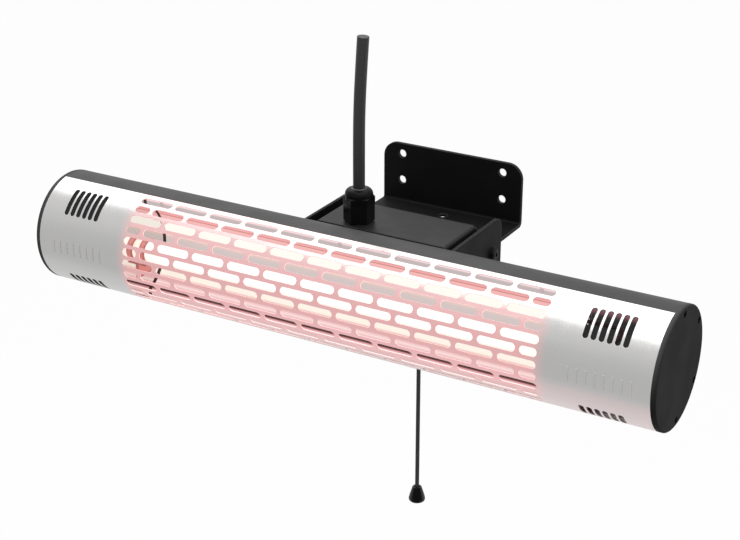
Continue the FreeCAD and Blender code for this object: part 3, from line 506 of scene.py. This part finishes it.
@dataclass(frozen=True)
class CapCoat(Coat):
    """An end cap's coat: a painted highlight round its rim, painted shade on that rim low on the
    right, and a faint painted glow inside behind the vents.
    """

    # painted highlight round the cap's rim
    rim_highlight: Colour = grey(0.08)
    # painted shade on the rim, low on the right-hand cap
    rim_low_shade: Colour = grey(0.016)
    rim_span: Span = (0.0508, 0.0516)
    rim_shade_span: Span = (0.030, -0.020)
    inner_span: Span = (0.3026, 0.3028)
    # faint painted glow inside the cap, for the element's light through the vents
    painted_inner_glow: Colour = (0.026, 0.026, 0.027)
    fade_span: Span = (0.3034, 0.3070)
    face_share: float = 0.3

    def paint(self, surface: Surface) -> Socket:
        """Add the painted rim highlight, with painted shade low on the right, and the painted glow
        inside.

        Args:
            surface: The new material.

        Returns:
            The colour, which isn't plugged in yet.
        """
        place = surface.place()
        rim = surface.ramp(place["Radius"], *self.rim_span)
        depth = surface.ramp(place["Along"], *self.inner_span, 1.0, 0.0)
        inside = surface.maths("MULTIPLY", depth, surface.maths("SUBTRACT", 1.0, rim))
        # painted glow inside the cap
        surface.shine(surface.mix(inside, BLACK, self.painted_inner_glow))
        # painted shade on the rim, low on the right-hand cap
        low = surface.ramp(place["Height"], *self.rim_shade_span)
        shaded = surface.maths("MULTIPLY", low, place["Right"])
        edge = surface.mix(shaded, self.rim_highlight, self.rim_low_shade)
        fade = surface.ramp(place["Along"], *self.fade_span, 1.0, self.face_share)
        band = surface.maths("MULTIPLY", rim, fade)
        return surface.mix(band, super().paint(surface), edge)


@dataclass(frozen=True)
class CutSheath(Coat):
    """A cord's sheath with a darker cut end at its top."""

    cut_span: Span = (0.1633, 0.1639)
    cut_colour: Colour = grey(0.004)

    def paint(self, surface: Surface) -> Socket:
        """Add the cut end.

        Args:
            surface: The new material.

        Returns:
            The colour, which isn't plugged in yet.
        """
        height = surface.add("ShaderNodeSeparateXYZ", {0: surface.point()}).outputs[2]
        cut = surface.ramp(height, *self.cut_span)
        return surface.mix(cut, super().paint(surface), self.cut_colour)


@dataclass(frozen=True)
class LinedCoat(Coat):
    """A coat outside and bare metal inside the tube, with the element's light painted on that
    metal.
    """

    # the lining's colour where the element lights it: a painted lit copy of the bare metal; the
    # end lining below is the same metal painted in shade
    lining: Colour = (0.3, 0.28, 0.27)
    lining_span: Span = (0.0512, 0.0509)
    # painted glow of the element's light on the lining, and at its ends
    painted_lining_glow: Colour = (0.46, 0.40, 0.40)
    shaded_end_lining: Colour = grey(0.03)
    painted_end_glow: Colour = grey(0.026)
    painted_tip_glow: Colour = (0.24, 0.11, 0.13)
    tip_span: Span = (0.003, 0.012)
    half_length: float = 0.209
    softness: float = 0.002

    def paint(self, surface: Surface) -> Socket:
        """Add the lining, with the element's light painted on it, redder high up at the right-hand
        end.

        Args:
            surface: The new material.

        Returns:
            The colour, which isn't plugged in yet.
        """
        place = surface.place()
        inside = surface.ramp(place["Radius"], *self.lining_span)
        heat = surface.group(surface.effects.heat, half_length=self.half_length,
                             softness=self.softness)["Mask"]
        high = surface.ramp(place["Height"], *self.tip_span)
        tip = surface.maths("MULTIPLY", high, place["Right"])
        # painted glow of the element's light on the lining, redder high at the right-hand end
        end = surface.mix(tip, self.painted_end_glow, self.painted_tip_glow)
        surface.shine(surface.mix(inside, BLACK, surface.mix(heat, end, self.painted_lining_glow)))
        # lit and shaded copies of the same bare metal: painted light and painted shade
        metal = surface.mix(heat, self.shaded_end_lining, self.lining)
        return surface.mix(inside, super().paint(surface), metal)


@dataclass(frozen=True)
class Metal(Finish):
    """A bare metal surface with hair lines and slow waves."""

    roughness: float
    line_scale: float = 2400.0
    line_depth: float = 0.000001
    wave_scale: float = 70.0
    wave_depth: float = 0.00015
    edge_radius: float = 0.0003
    # painted glow where the element lights the metal; black for none
    glow: Colour = BLACK
    rough_reach: float = 0.02
    shade_dim: float = 0.96
    glow_dim: float = 0.9

    def wire(self, surface: Surface) -> None:
        """Wire up the lines, the waves, the edges and the painted glow.

        Args:
            surface: The new material.
        """
        brushed = surface.group(surface.effects.brushed, line_scale=self.line_scale,
                                wave_scale=self.wave_scale)
        waves = brushed["Waves"]
        edges = surface.group(surface.effects.edges, radius=self.edge_radius)
        wavy = surface.bump(waves, self.wave_depth, edges["Normal"])
        surface.feed(ShaderInput.NORMAL, surface.bump(brushed["Lines"], self.line_depth, wavy))
        surface.feed(ShaderInput.ROUGHNESS,
                     surface.spread(waves, self.roughness, self.rough_reach))
        surface.feed(ShaderInput.COLOUR, self.shade(surface, waves))
        surface.feed(ShaderInput.METALLIC, 1.0)
        if any(self.glow):
            surface.shine(self.light(surface, waves))

    def shade(self, surface: Surface, waves: Socket) -> Socket:
        """Return the metal's own colour, a little darker in its waves."""
        return surface.dimmed(waves, self.colour, self.shade_dim)

    def light(self, surface: Surface, waves: Socket) -> Socket:
        """Return the painted glow that stands in for the element's light on the metal."""
        return surface.dimmed(waves, self.glow, self.glow_dim)


@dataclass(frozen=True)
class GrilleMetal(Metal):
    """The brushed grille, with the element's light painted on as a pink tint and glow, brighter on
    the cut edges of its slots.
    """

    # painted pink light over the element, mixed into the grille's colour
    painted_glow_tint: Colour = (0.59, 0.49, 0.49)
    painted_tint_fades: Span = (0.15, 0.85)
    glow_fades: Span = (0.5, 1.0)
    fade_span: Span = (-0.2, 0.1)
    # painted glow on the cut edges of the slots
    cut_glow: Colour = (0.95, 0.60, 0.57)
    cut_span: Span = (0.0522, 0.0519)
    half_length: float = 0.2065
    softness: float = 0.009
    # faint painted light low on each unlit end, a pink painted reflection on the right
    painted_left_light: Colour = grey(0.045)
    painted_right_light: Colour = (0.085, 0.012, 0.012)
    painted_light_span: Span = (-0.006, -0.020)

    def shade(self, surface: Surface, waves: Socket) -> Socket:
        """Return the metal's own colour, with a painted pink tint of light over the element."""
        heat = self._heat(surface, self.painted_tint_fades)
        return surface.mix(heat, super().shade(surface, waves), self.painted_glow_tint)

    def _heat(self, surface: Surface, fades: Span) -> Socket:
        """Find the lit stretch.

        Args:
            surface: The new material.
            fades: How much it fades to the tube's top and bottom, on the left and on the right.

        Returns:
            The mask of the lit stretch.
        """
        fade = surface.ramp(surface.place()["Side"], *self.fade_span, *fades)
        heat = surface.group(surface.effects.heat, half_length=self.half_length,
                             softness=self.softness, fade=fade)
        return heat["Mask"]

    def light(self, surface: Surface, waves: Socket) -> Socket:
        """Paint the element's light on the sheet's face, its cut edges and its inside.

        Args:
            surface: The new material.
            waves: The slow waves of the sheet, which this light doesn't show.

        Returns:
            The painted glow, with a faint painted light low on the unlit ends.
        """
        place = surface.place()
        cut = surface.ramp(place["Radius"], *self.cut_span)
        hot = surface.mix(cut, self.glow, self.cut_glow)
        low = surface.ramp(place["Height"], *self.painted_light_span)
        face = surface.maths("MULTIPLY", low, surface.maths("SUBTRACT", 1.0, cut))
        # painted light low on each end, pink on the right
        cast = surface.mix(place["Right"], self.painted_left_light, self.painted_right_light)
        end = surface.mix(face, BLACK, cast)
        return surface.mix(self._heat(surface, self.glow_fades), end, hot)


@dataclass(frozen=True)
class ReflectorMetal(Metal):
    """The polished reflector, with the element's reflections painted on as bands of glow by
    height.
    """

    # the painted glow dims to this at each end of the reflector
    dim_end_span: Span = (0.2070, 0.2074)
    dim_end_glow: Colour = (0.03, 0.006, 0.008)
    dull_span: Span = (0.03, 0.12)
    # painted reflections of the element, by height; the darkest stops are painted dark lines
    bands: tuple[tuple[float, Colour], ...] = (
        (-0.0480, (0.70, 0.47, 0.47)),
        (-0.0440, (0.74, 0.45, 0.45)),
        (-0.0427, (0.70, 0.28, 0.29)),
        # a painted dark line
        (-0.0422, (0.03, 0.004, 0.006)),
        (-0.0402, (0.03, 0.004, 0.006)),
        (-0.0398, (0.74, 0.38, 0.38)),
        (-0.0380, (0.92, 0.70, 0.69)),
        (-0.0362, (0.80, 0.44, 0.43)),
        (-0.0340, (0.70, 0.32, 0.31)),
        (-0.0322, (0.95, 0.86, 0.76)),
        (-0.0065, (0.97, 0.92, 0.84)),
        (-0.0048, (0.60, 0.52, 0.51)),
        (0.0008, (0.64, 0.54, 0.52)),
        (0.0034, (0.88, 0.59, 0.53)),
        (0.0060, (0.94, 0.79, 0.72)),
        (0.0080, (0.98, 0.95, 0.87)),
        (0.0180, (0.98, 0.95, 0.87)),
        (0.0215, (0.82, 0.45, 0.44)),
        (0.0262, (0.84, 0.42, 0.41)),
        (0.0274, (0.42, 0.12, 0.12)),
        (0.0284, (0.80, 0.32, 0.32)),
        (0.0306, (0.76, 0.29, 0.29)),
        (0.0322, (0.14, 0.02, 0.025)),
        (0.0335, (0.44, 0.38, 0.38)),
        (0.0460, (0.52, 0.46, 0.46)),
        (0.0467, (0.90, 0.68, 0.71)),
        (0.0505, (0.92, 0.72, 0.75)),
    )

    def wire(self, surface: Surface) -> None:
        """Add the painted bands of reflected light, dimmer at each end, with no metallic sheen
        where they are dark.

        Args:
            surface: The new material.
        """
        super().wire(surface)
        place = surface.place()
        end = surface.ramp(place["Along"], *self.dim_end_span)
        # painted reflections of the element as bands, dimmed at each end
        light = surface.mix(end, surface.bands(place["Height"], self.bands), self.dim_end_glow)
        surface.feed(ShaderInput.METALLIC, surface.ramp(light, *self.dull_span))
        surface.feed(ShaderInput.SPECULAR, 0.0)
        surface.shine(light)


@dataclass(frozen=True)
class OutlinedMetal(Metal):
    """A metal part with the element's light painted on as glow, darker along its edges."""

    # painted glow on the edges, darker than on the faces
    rim_glow: Colour = (0.065, 0.004, 0.004)
    rim_radius: float = 0.0035

    def light(self, surface: Surface, waves: Socket) -> Socket:
        """Return the painted glow of the faces and of the darker edges."""
        edge = surface.group(surface.effects.edges, radius=self.rim_radius)["Edge"]
        return surface.mix(edge, self.glow, self.rim_glow)


@dataclass(frozen=True)
class LitSurface(Finish):
    """A glowing surface: the element and its quartz tube, or a part beside them whose glow is
    painted light.
    """

    glow: Colour
    strength: float
    roughness: float = 0.3
    transmission: float = 0.0
    mottle_scale: float = 90.0
    rough_reach: float = 0.04
    shade_dim: float = 0.94
    glow_dim: float = 0.88

    def wire(self, surface: Surface) -> None:
        """Wire up the mottle and the glow.

        Args:
            surface: The new material.
        """
        mottle = surface.mottle(self.mottle_scale)
        surface.feed(ShaderInput.COLOUR, surface.dimmed(mottle, self.colour, self.shade_dim))
        surface.feed(ShaderInput.ROUGHNESS,
                     surface.spread(mottle, self.roughness, self.rough_reach))
        surface.feed(ShaderInput.TRANSMISSION, self.transmission)
        surface.shine(surface.dimmed(mottle, self.glow, self.glow_dim), self.strength)


@dataclass(frozen=True)
class Braid(Finish):
    """A fine braid, drawn as crossing spiral ridges, with painted shade in the grooves."""

    ridge_scale: float = 700.0
    ridge_depth: float = 0.00006
    ridge_roughness: float = 0.65
    groove_roughness: float = 0.8
    # painted shade in the grooves of the weave
    groove_shade_dim: float = 0.7
    mottle_scale: float = 60.0
    specular: float = 0.25

    def wire(self, surface: Surface) -> None:
        """Wire up the ridges that lean both ways.

        Args:
            surface: The new material.
        """
        point = surface.point()
        ridges = []
        for lean in (1.0, -1.0):
            turned = surface.add("ShaderNodeMapping",
                                 {"Vector": point, "Scale": (lean, lean, 1.0)})
            inputs = {"Vector": turned.outputs[0], "Scale": self.ridge_scale}
            wave = surface.add("ShaderNodeTexWave", inputs, bands_direction="DIAGONAL")
            ridges.append(wave.outputs["Fac"])
        weave = surface.maths("MAXIMUM", *ridges)
        # painted shade: darker in the grooves
        body = surface.dimmed(weave, self.colour, self.groove_shade_dim)
        rough = surface.ramp(weave, 0.0, 1.0, self.groove_roughness, self.ridge_roughness)
        mottle = surface.mottle(self.mottle_scale)
        surface.feed(ShaderInput.COLOUR, surface.mix(mottle, body, self.colour))
        surface.feed(ShaderInput.NORMAL, surface.bump(weave, self.ridge_depth))
        surface.feed(ShaderInput.ROUGHNESS, rough)
        surface.feed(ShaderInput.SPECULAR, self.specular)


class Palette:
    """The finishes, each built as a material on first use."""

    def __init__(self, effects: Effects) -> None:
        """Keep the shared node groups and the materials built so far."""
        self.effects = effects
        self.made: dict[str, bpy.types.Material] = {}

    def material(self, finish: Finish) -> bpy.types.Material:
        """Find a finish's material, or build it.

        Args:
            finish: The finish.

        Returns:
            Its material.
        """
        if finish.name not in self.made:
            self.made[finish.name] = finish.build(self.effects)
        return self.made[finish.name]

    def dress(self, finish: Finish, *nodes: str) -> None:
        """Give CAD nodes a finish.

        Args:
            finish: The finish.
            nodes: The nodes that wear it.
        """
        for node in nodes:
            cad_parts[node].material_slots[0].material = self.material(finish)
            log.info("node %s wears %s", node, finish.name)

    def settle(self, piece: bpy.types.Object, finish: Finish, body: Body, slot: str,
               *stands_for: str) -> None:
        """Finish a new piece: its material, its body, its slot and the nodes that it stands for.

        Args:
            piece: The finished object.
            finish: Its finish.
            body: The body that carries it.
            slot: The record's material slot; not used.
            stands_for: The CAD nodes that it replaces.
        """
        piece.data.materials.clear()
        piece.data.materials.append(self.material(finish))
        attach(piece, body.value)
        if stands_for:
            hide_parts(*stands_for)
        log.info("piece %s rides on %s", piece.name, body.value)


@dataclass
class Studio:
    """The camera, the floor and the light."""

    camera_place: Point = (0.66358, -1.30969, 0.54489)
    camera_target: Point = (0.02419, -0.202, -0.01777)
    lens: float = 78.614
    sensor: float = 36.0
    floor_drop: float = 1.1
    floor_size: float = 40.0
    floor_colour: Colour = grey(0.85)
    floor_white: float = 0.97
    pool_radius: float = 1.6
    ambient: float = 0.38
    horizon: float = 0.8
    sky_rise: float = 0.8
    roof_place: Point = (-0.35, 0.26, 1.15)
    roof_turn: float = -30.0
    roof_size: Span = (3.8, 1.7)
    roof_power: float = 32.4

    def build(self) -> None:
        """Make the whole stage."""
        bpy.context.scene.view_settings.view_transform = "Standard"
        self._camera()
        self._floor()
        self._world()
        self._roof()
        log.info("stage is set")

    def _camera(self) -> None:
        """Place the camera at the photograph's viewing angle."""
        data = bpy.data.cameras.new("photo_camera")
        data.lens = self.lens
        data.sensor_width = self.sensor
        data.sensor_fit = "HORIZONTAL"
        camera = bpy.data.objects.new("photo_camera", data)
        bpy.context.scene.collection.objects.link(camera)
        camera.location = self.camera_place
        aim = Vector(self.camera_target) - Vector(self.camera_place)
        camera.rotation_euler = aim.to_track_quat("-Z", "Y").to_euler()
        bpy.context.scene.camera = camera

    def _floor(self) -> None:
        """Lay a pale floor far under the heater, brightest there and with a faint shadow."""
        bpy.ops.object.select_all(action="DESELECT")
        bpy.ops.mesh.primitive_plane_add(size=self.floor_size,
                                         location=(0.0, 0.0, -self.floor_drop))
        floor = bpy.context.object
        floor.name = "floor"
        surface = Surface("pale_floor")
        surface.feed(ShaderInput.COLOUR, self.floor_colour)
        surface.feed(ShaderInput.ROUGHNESS, 1.0)
        surface.feed(ShaderInput.SPECULAR, 0.0)
        away = surface.add("ShaderNodeVectorMath", {0: surface.point()}, operation="LENGTH")
        pool = surface.ramp(away.outputs["Value"], 0.0, self.pool_radius, 1.0, self.horizon)
        plain, mirrored = surface.rays()
        seen = surface.maths("MAXIMUM", plain, mirrored)
        strength = surface.maths("MAXIMUM", plain, surface.maths("MULTIPLY", mirrored, pool))
        white = surface.add("ShaderNodeEmission", {"Color": WHITE, "Strength": strength})
        share = surface.maths("MULTIPLY", seen, self.floor_white)
        result = surface.find("OUTPUT_MATERIAL").inputs["Surface"]
        plaster = result.links[0].from_socket
        blend = surface.add("ShaderNodeMixShader", {0: share, 1: plaster, 2: white.outputs[0]})
        surface.plug(result, blend.outputs[0])
        floor.data.materials.append(surface.material)

    def _world(self) -> None:
        """Give a soft even light, white round the heater and paler up high in reflections."""
        world = bpy.data.worlds.new("studio")
        bpy.context.scene.world = world
        world.use_nodes = True
        graph = Graph(world.node_tree)
        background = graph.find("BACKGROUND").inputs
        way = graph.add("ShaderNodeTexCoord").outputs["Generated"]
        rise = graph.add("ShaderNodeSeparateXYZ", {0: way}).outputs[2]
        sky = graph.ramp(rise, 0.0, self.sky_rise, self.horizon, 1.0)
        plain, mirrored = graph.rays()
        seen = graph.maths("MAXIMUM", plain, graph.maths("MULTIPLY", mirrored, sky))
        graph.plug(background["Color"], WHITE)
        graph.plug(background["Strength"], graph.maths("MAXIMUM", seen, self.ambient))

    def _roof(self) -> None:
        """Hang the large soft light over the heater."""
        data = bpy.data.lights.new("roof_light", "AREA")
        data.shape = "RECTANGLE"
        data.size, data.size_y = self.roof_size
        data.energy = self.roof_power
        light = bpy.data.objects.new("roof_light", data)
        light.location = self.roof_place
        light.rotation_euler = (0.0, 0.0, math.radians(self.roof_turn))
        bpy.context.scene.collection.objects.link(light)


def turned_piece(name: str, axis: Span, rings: Sequence[Span]) -> bpy.types.Object:
    """Model a round piece ring by ring, from a circle that is extruded and resized.

    Args:
        name: The piece's name.
        axis: The X and Y of its upright axis.
        rings: Pairs of radius and height, round its closed section.

    Returns:
        The finished object.
    """
    bpy.ops.object.select_all(action="DESELECT")
    radius, level = rings[0]
    bpy.ops.mesh.primitive_circle_add(vertices=RING_POINTS, radius=radius, location=(*axis, level))
    piece = bpy.context.object
    piece.name = name
    piece.data.name = name
    bpy.ops.object.mode_set(mode="EDIT")
    bpy.ops.mesh.select_all(action="SELECT")
    for wider, lower in rings[1:]:
        drop = (0.0, 0.0, lower - level)
        bpy.ops.mesh.extrude_region_move(TRANSFORM_OT_translate={"value": drop})
        bpy.ops.transform.resize(value=(wider / radius, wider / radius, 1.0))
        radius, level = wider, lower
    bpy.ops.mesh.select_all(action="DESELECT")
    bpy.ops.mesh.select_non_manifold()
    bpy.ops.mesh.bridge_edge_loops()
    bpy.ops.mesh.select_all(action="SELECT")
    bpy.ops.mesh.normals_make_consistent(inside=False)
    bpy.ops.object.mode_set(mode="OBJECT")
    bpy.ops.object.transform_apply(location=True, rotation=True, scale=True)
    rounding = piece.modifiers.new("rounding", "SUBSURF")
    rounding.levels = rounding.render_levels = 1
    bpy.ops.object.modifier_apply(modifier=rounding.name)
    bpy.ops.object.shade_smooth()
    return piece


def cord_curve(name: str, route: Sequence[Point], diameter: float) -> bpy.types.Object:
    """Draw a smooth cord along a route.

    Args:
        name: The piece's name.
        route: The control points of its spline.
        diameter: Its thickness.

    Returns:
        The curve object.
    """
    curve = bpy.data.curves.new(name, "CURVE")
    curve.dimensions = "3D"
    curve.bevel_depth = diameter / 2
    curve.bevel_resolution = CORD_ROUNDNESS
    curve.resolution_u = CORD_STEPS
    curve.use_fill_caps = True
    spline = curve.splines.new("NURBS")
    spline.points.add(len(route) - 1)
    for point, place in zip(spline.points, route):
        point.co = (*place, 1.0)
    spline.order_u = CORD_ORDER
    spline.use_endpoint_u = True
    piece = bpy.data.objects.new(name, curve)
    bpy.context.scene.collection.objects.link(piece)
    return piece


@dataclass
class SupplyCord:
    """The stub of supply cord that rises out of the gland."""

    route: tuple[Point, ...] = (
        (-0.0315, -0.1255, 0.0206),
        (-0.0315, -0.1255, 0.0574),
        (-0.0310, -0.1255, 0.0951),
        (-0.0292, -0.1255, 0.1299),
        (-0.0268, -0.1255, 0.1642),
    )
    diameter: float = 0.011
    length: float = 0.1437
    sheath: Finish = CutSheath("cord_sheath", (0.026, 0.026, 0.027), roughness=0.42, specular=0.4,
                               painted_edge_colour=grey(0.004))

    def build(self, palette: Palette) -> None:
        """Make the cord and dress its hidden end.

        Args:
            palette: The finishes.
        """
        piece = cord_curve("supply_cord", self.route, self.diameter)
        palette.settle(piece, self.sheath, Body.HEATER, "cord_rubber", "power_cord")
        palette.dress(self.sheath, "cord_tail")


@dataclass
class HangingPull:
    """The pull switch's rod and clip, the straight cord and its bell-shaped knob."""

    axis: Span = (0.0145, -0.092)
    top: float = -0.0928
    bottom: float = -0.3033
    diameter: float = 0.004
    levels: tuple[float, ...] = (0.0, 0.33, 0.67, 1.0)
    bell: tuple[Span, ...] = (
        (0.0021, -0.2957), (0.0036, -0.2957), (0.0045, -0.2960), (0.0049, -0.2968),
        (0.0054, -0.2988), (0.0065, -0.3022), (0.0075, -0.3056), (0.0081, -0.3078),
        (0.0083, -0.3092), (0.0081, -0.3104), (0.0074, -0.3112), (0.0063, -0.3114),
        (0.0057, -0.3105), (0.0055, -0.3050), (0.0042, -0.3034), (0.0021, -0.3033),
    )
    braid: Finish = Braid("pull_braid", grey(0.06))
    gloss: Finish = RimmedCoat("knob_gloss", (0.0015, 0.0015, 0.0016), roughness=0.35,
                               specular=0.08, painted_edge_colour=grey(0.006))
    moulding: Finish = Coat("switch_moulding", grey(0.02), roughness=0.5)
    rod: Finish = Metal("rod_steel", (0.55, 0.54, 0.53), roughness=0.3)

    def build(self, palette: Palette) -> None:
        """Make the cord and the knob, and dress the rest.

        Args:
            palette: The finishes.
        """
        knob = turned_piece("bell_knob", self.axis, self.bell)
        palette.settle(knob, self.gloss, Body.HANGING, "knob_plastic", "pull_knob")
        drop = self.bottom - self.top
        route = [(*self.axis, self.top + drop * level) for level in self.levels]
        piece = cord_curve("pull_line", route, self.diameter)
        palette.settle(piece, self.braid, Body.HANGING, "pull_braid", "pull_cord")
        palette.dress(self.braid, "cord_knot")
        palette.dress(self.moulding, "pull_switch", "cord_clip")
        palette.dress(self.rod, "pull_rod")


@dataclass
class HeatingTube:
    """The lit element in its quartz tube, with its ends, its clips and the reflector."""

    axis: Span = (-0.22, -0.041)
    coil_half_length: float = 0.168
    coil_radius: float = 0.0022
    wire_radius: float = 0.0004
    wire_points: int = 6
    turns: int = 168
    turn_steps: int = 14
    element: Finish = LitSurface("hot_element", (1.0, 0.8, 0.6), glow=(1.0, 0.78, 0.55),
                                 strength=1.0)
    quartz: Finish = LitSurface("lit_quartz", (0.62, 0.62, 0.61), glow=(1.0, 0.985, 0.96),
                                strength=0.47, transmission=0.5)
    # painted glow: the ceramic ends are lit by the element, not lamps
    ceramic: Finish = LitSurface("lit_ceramic", (0.8, 0.77, 0.72), glow=(1.0, 0.9, 0.82),
                                 strength=0.75)
    # painted glow of the element's light on the clips
    clip: Finish = OutlinedMetal("clip_painted_glow", (0.25, 0.16, 0.15), roughness=0.4,
                                 glow=(0.46, 0.12, 0.11))
    # dark base colour; the painted bands of glow make the reflector's look
    reflector: Finish = ReflectorMetal("polished_reflector", (0.05, 0.046, 0.044), roughness=0.25)
    bulkhead: Finish = Metal("polished_bulkhead", (0.88, 0.85, 0.83), roughness=0.07,
                             wave_depth=0.00005)
    sleeve: Finish = Coat("lead_sleeve", (0.5, 0.47, 0.42), roughness=0.7,
                          painted_edge_colour=(0.55, 0.52, 0.46))
    hot_sleeve: Finish = Coat("hot_lead_sleeve", grey(0.12), roughness=0.8, painted_edge_colour=grey(0.12))

    def build(self, palette: Palette) -> None:
        """Wind the coil and dress the rest.

        Args:
            palette: The finishes.
        """
        palette.settle(self._coil(), self.element, Body.HEATER, "filament", "heating_filament")
        palette.dress(self.quartz, "quartz_tube")
        palette.dress(self.ceramic, "left_ceramic_end", "right_ceramic_end")
        palette.dress(self.clip, "left_lamp_clip", "right_lamp_clip")
        palette.dress(self.reflector, "reflector")
        palette.dress(self.bulkhead, "left_bulkhead", "right_bulkhead")
        palette.dress(self.hot_sleeve, "left_lead", "right_lead")
        palette.dress(self.sleeve, "switch_leads", "supply_cores")

    def _coil(self) -> bpy.types.Object:
        """Wind the element: a small ring carried along a screw line.

        Returns:
            The finished object.
        """
        bpy.ops.object.select_all(action="DESELECT")
        bpy.ops.mesh.primitive_circle_add(vertices=self.wire_points, radius=self.wire_radius,
                                          rotation=(math.pi / 2, 0.0, 0.0))
        coil = bpy.context.object
        coil.name = "heat_coil"
        coil.data.name = "heat_coil"
        bpy.ops.object.transform_apply(location=False, rotation=True, scale=False)
        bpy.ops.object.mode_set(mode="EDIT")
        bpy.ops.mesh.select_all(action="SELECT")
        bpy.ops.transform.translate(value=(0.0, 0.0, self.coil_radius - self.wire_radius))
        bpy.ops.object.mode_set(mode="OBJECT")
        winding = coil.modifiers.new("winding", "SCREW")
        winding.axis = "X"
        winding.iterations = self.turns
        winding.steps = winding.render_steps = self.turn_steps
        winding.screw_offset = 2 * self.coil_half_length / self.turns
        bpy.ops.object.modifier_apply(modifier=winding.name)
        coil.location = (-self.coil_half_length, *self.axis)
        bpy.ops.object.transform_apply(location=True, rotation=True, scale=True)
        bpy.ops.object.mode_set(mode="EDIT")
        bpy.ops.mesh.select_all(action="DESELECT")
        bpy.ops.mesh.select_non_manifold()
        bpy.ops.mesh.edge_face_add()
        bpy.ops.mesh.select_all(action="SELECT")
        bpy.ops.mesh.normals_make_consistent(inside=False)
        bpy.ops.object.mode_set(mode="OBJECT")
        bpy.ops.object.shade_smooth()
        return coil


@dataclass
class TubeShell:
    """The tube's two halves, its end caps and what holds them."""

    housing: Finish = LinedCoat("housing_coat", grey(0.034), roughness=0.5, specular=0.22)
    # painted pink glow of the element's light on the grille
    grille: Finish = GrilleMetal("brushed_grille", (0.59, 0.585, 0.58), roughness=0.27,
                                 glow=(0.305, 0.055, 0.057))
    cap: Finish = CapCoat("cap_moulding", grey(0.022), roughness=0.55, specular=0.02,
                          painted_edge_colour=grey(0.03))
    screw: Finish = Coat("black_screw", grey(0.002), roughness=0.6, specular=0.02,
                         painted_edge_colour=grey(0.004))
    # painted glow: the rivets are lit by the element, not lamps
    rivet: Finish = Metal("rivet_steel", (0.1, 0.09, 0.09), roughness=0.4, glow=(0.45, 0.39, 0.39))

    def build(self, palette: Palette) -> None:
        """Dress the shell.

        Args:
            palette: The finishes.
        """
        palette.dress(self.housing, "rear_housing")
        palette.dress(self.grille, "front_grille")
        palette.dress(self.cap, "left_end_cap", "right_end_cap")
        palette.dress(self.screw, "end_cap_screws")
        palette.dress(self.rivet, "seam_rivets")


@dataclass
class WallYoke:
    """The wall plate, the cheeks and the tilt pivots."""

    # pale painted highlight along the bracket's edges
    coat: Finish = Coat("bracket_coat", (0.0065, 0.0065, 0.0067), roughness=0.55, specular=0.08,
                        painted_edge_colour=grey(0.09), edge_radius=0.0018)
    bolt: Finish = Coat("black_bolt", grey(0.005), roughness=0.45, specular=0.15,
                        painted_edge_colour=grey(0.02))
    pad: Finish = Coat("friction_pad", grey(0.012), roughness=0.7)
    nut: Finish = Metal("pivot_steel", (0.55, 0.54, 0.53), roughness=0.35)

    def build(self, palette: Palette) -> None:
        """Dress the yoke.

        Args:
            palette: The finishes.
        """
        palette.dress(self.coat, "wall_plate", "left_cheek", "right_cheek")
        palette.dress(self.bolt, "pivot_bolts", "pivot_washers")
        palette.dress(self.pad, "friction_washers")
        palette.dress(self.nut, "pivot_nuts")


@dataclass
class TerminalBox:
    """The box with its cover, its seals and what is wired inside it."""

    coat: Finish = Coat("box_coat", grey(0.012), roughness=0.42, specular=0.15,
                        painted_edge_colour=grey(0.03), edge_radius=0.0003)
    screw: Finish = Coat("cover_screw", grey(0.008), roughness=0.4)
    rubber: Finish = Coat("seal_rubber", grey(0.008), roughness=0.6, specular=0.2)
    terminal: Finish = Coat("terminal_moulding", (0.75, 0.74, 0.7), roughness=0.45,
                            painted_edge_colour=(0.85, 0.84, 0.8))
    brass: Finish = Metal("terminal_brass", (0.7, 0.52, 0.22), roughness=0.3)
    saddle: Finish = Metal("saddle_steel", (0.55, 0.54, 0.53), roughness=0.35)

    def build(self, palette: Palette) -> None:
        """Dress the box.

        Args:
            palette: The finishes.
        """
        palette.dress(self.coat, "terminal_box", "box_cover")
        palette.dress(self.screw, "cover_screws")
        palette.dress(self.rubber, "cover_gasket", "saddle_gasket")
        palette.dress(self.terminal, "terminal_block")
        palette.dress(self.brass, "terminal_screws")
        palette.dress(self.saddle, "saddle_screws")


@dataclass
class CableGland:
    """The gland on the box and the rubber lip round the supply cord."""

    axis: Span = (-0.0315, -0.1255)
    lip: tuple[Span, ...] = (
        (0.0056, 0.0215), (0.0056, 0.0228), (0.0060, 0.0233), (0.0067, 0.0233),
        (0.0074, 0.0228), (0.0077, 0.0221), (0.0077, 0.0215),
    )
    nylon: Finish = Coat("gland_nylon", (0.006, 0.006, 0.0064), roughness=0.2, specular=0.15,
                         painted_edge_colour=grey(0.02))
    dome: Finish = Coat("gland_dome", (0.006, 0.006, 0.0064), roughness=0.26, specular=0.06,
                        painted_edge_colour=grey(0.014))
    rubber: Finish = Coat("lip_rubber", grey(0.005), roughness=0.14, specular=0.6,
                          painted_edge_colour=grey(0.012))

    def build(self, palette: Palette) -> None:
        """Make the lip and dress the gland.

        Args:
            palette: The finishes.
        """
        lip = turned_piece("gland_lip", self.axis, self.lip)
        palette.settle(lip, self.rubber, Body.HEATER, "seal_rubber")
        palette.dress(self.nylon, "gland_body", "gland_locknut")
        palette.dress(self.dome, "gland_dome_nut")
        palette.dress(self.rubber, "gland_washer", "gland_seal")


def main() -> None:
    """Build the stage and the sub-assemblies in order."""
    logging.basicConfig(level=logging.INFO)
    Studio().build()
    palette = Palette(Effects())
    for part in (SupplyCord(), HangingPull(), HeatingTube(), TubeShell(), WallYoke(),
                 TerminalBox(), CableGland()):
        part.build(palette)
        log.info("%s is done", type(part).__name__)


if __name__ == "__main__":
    main()
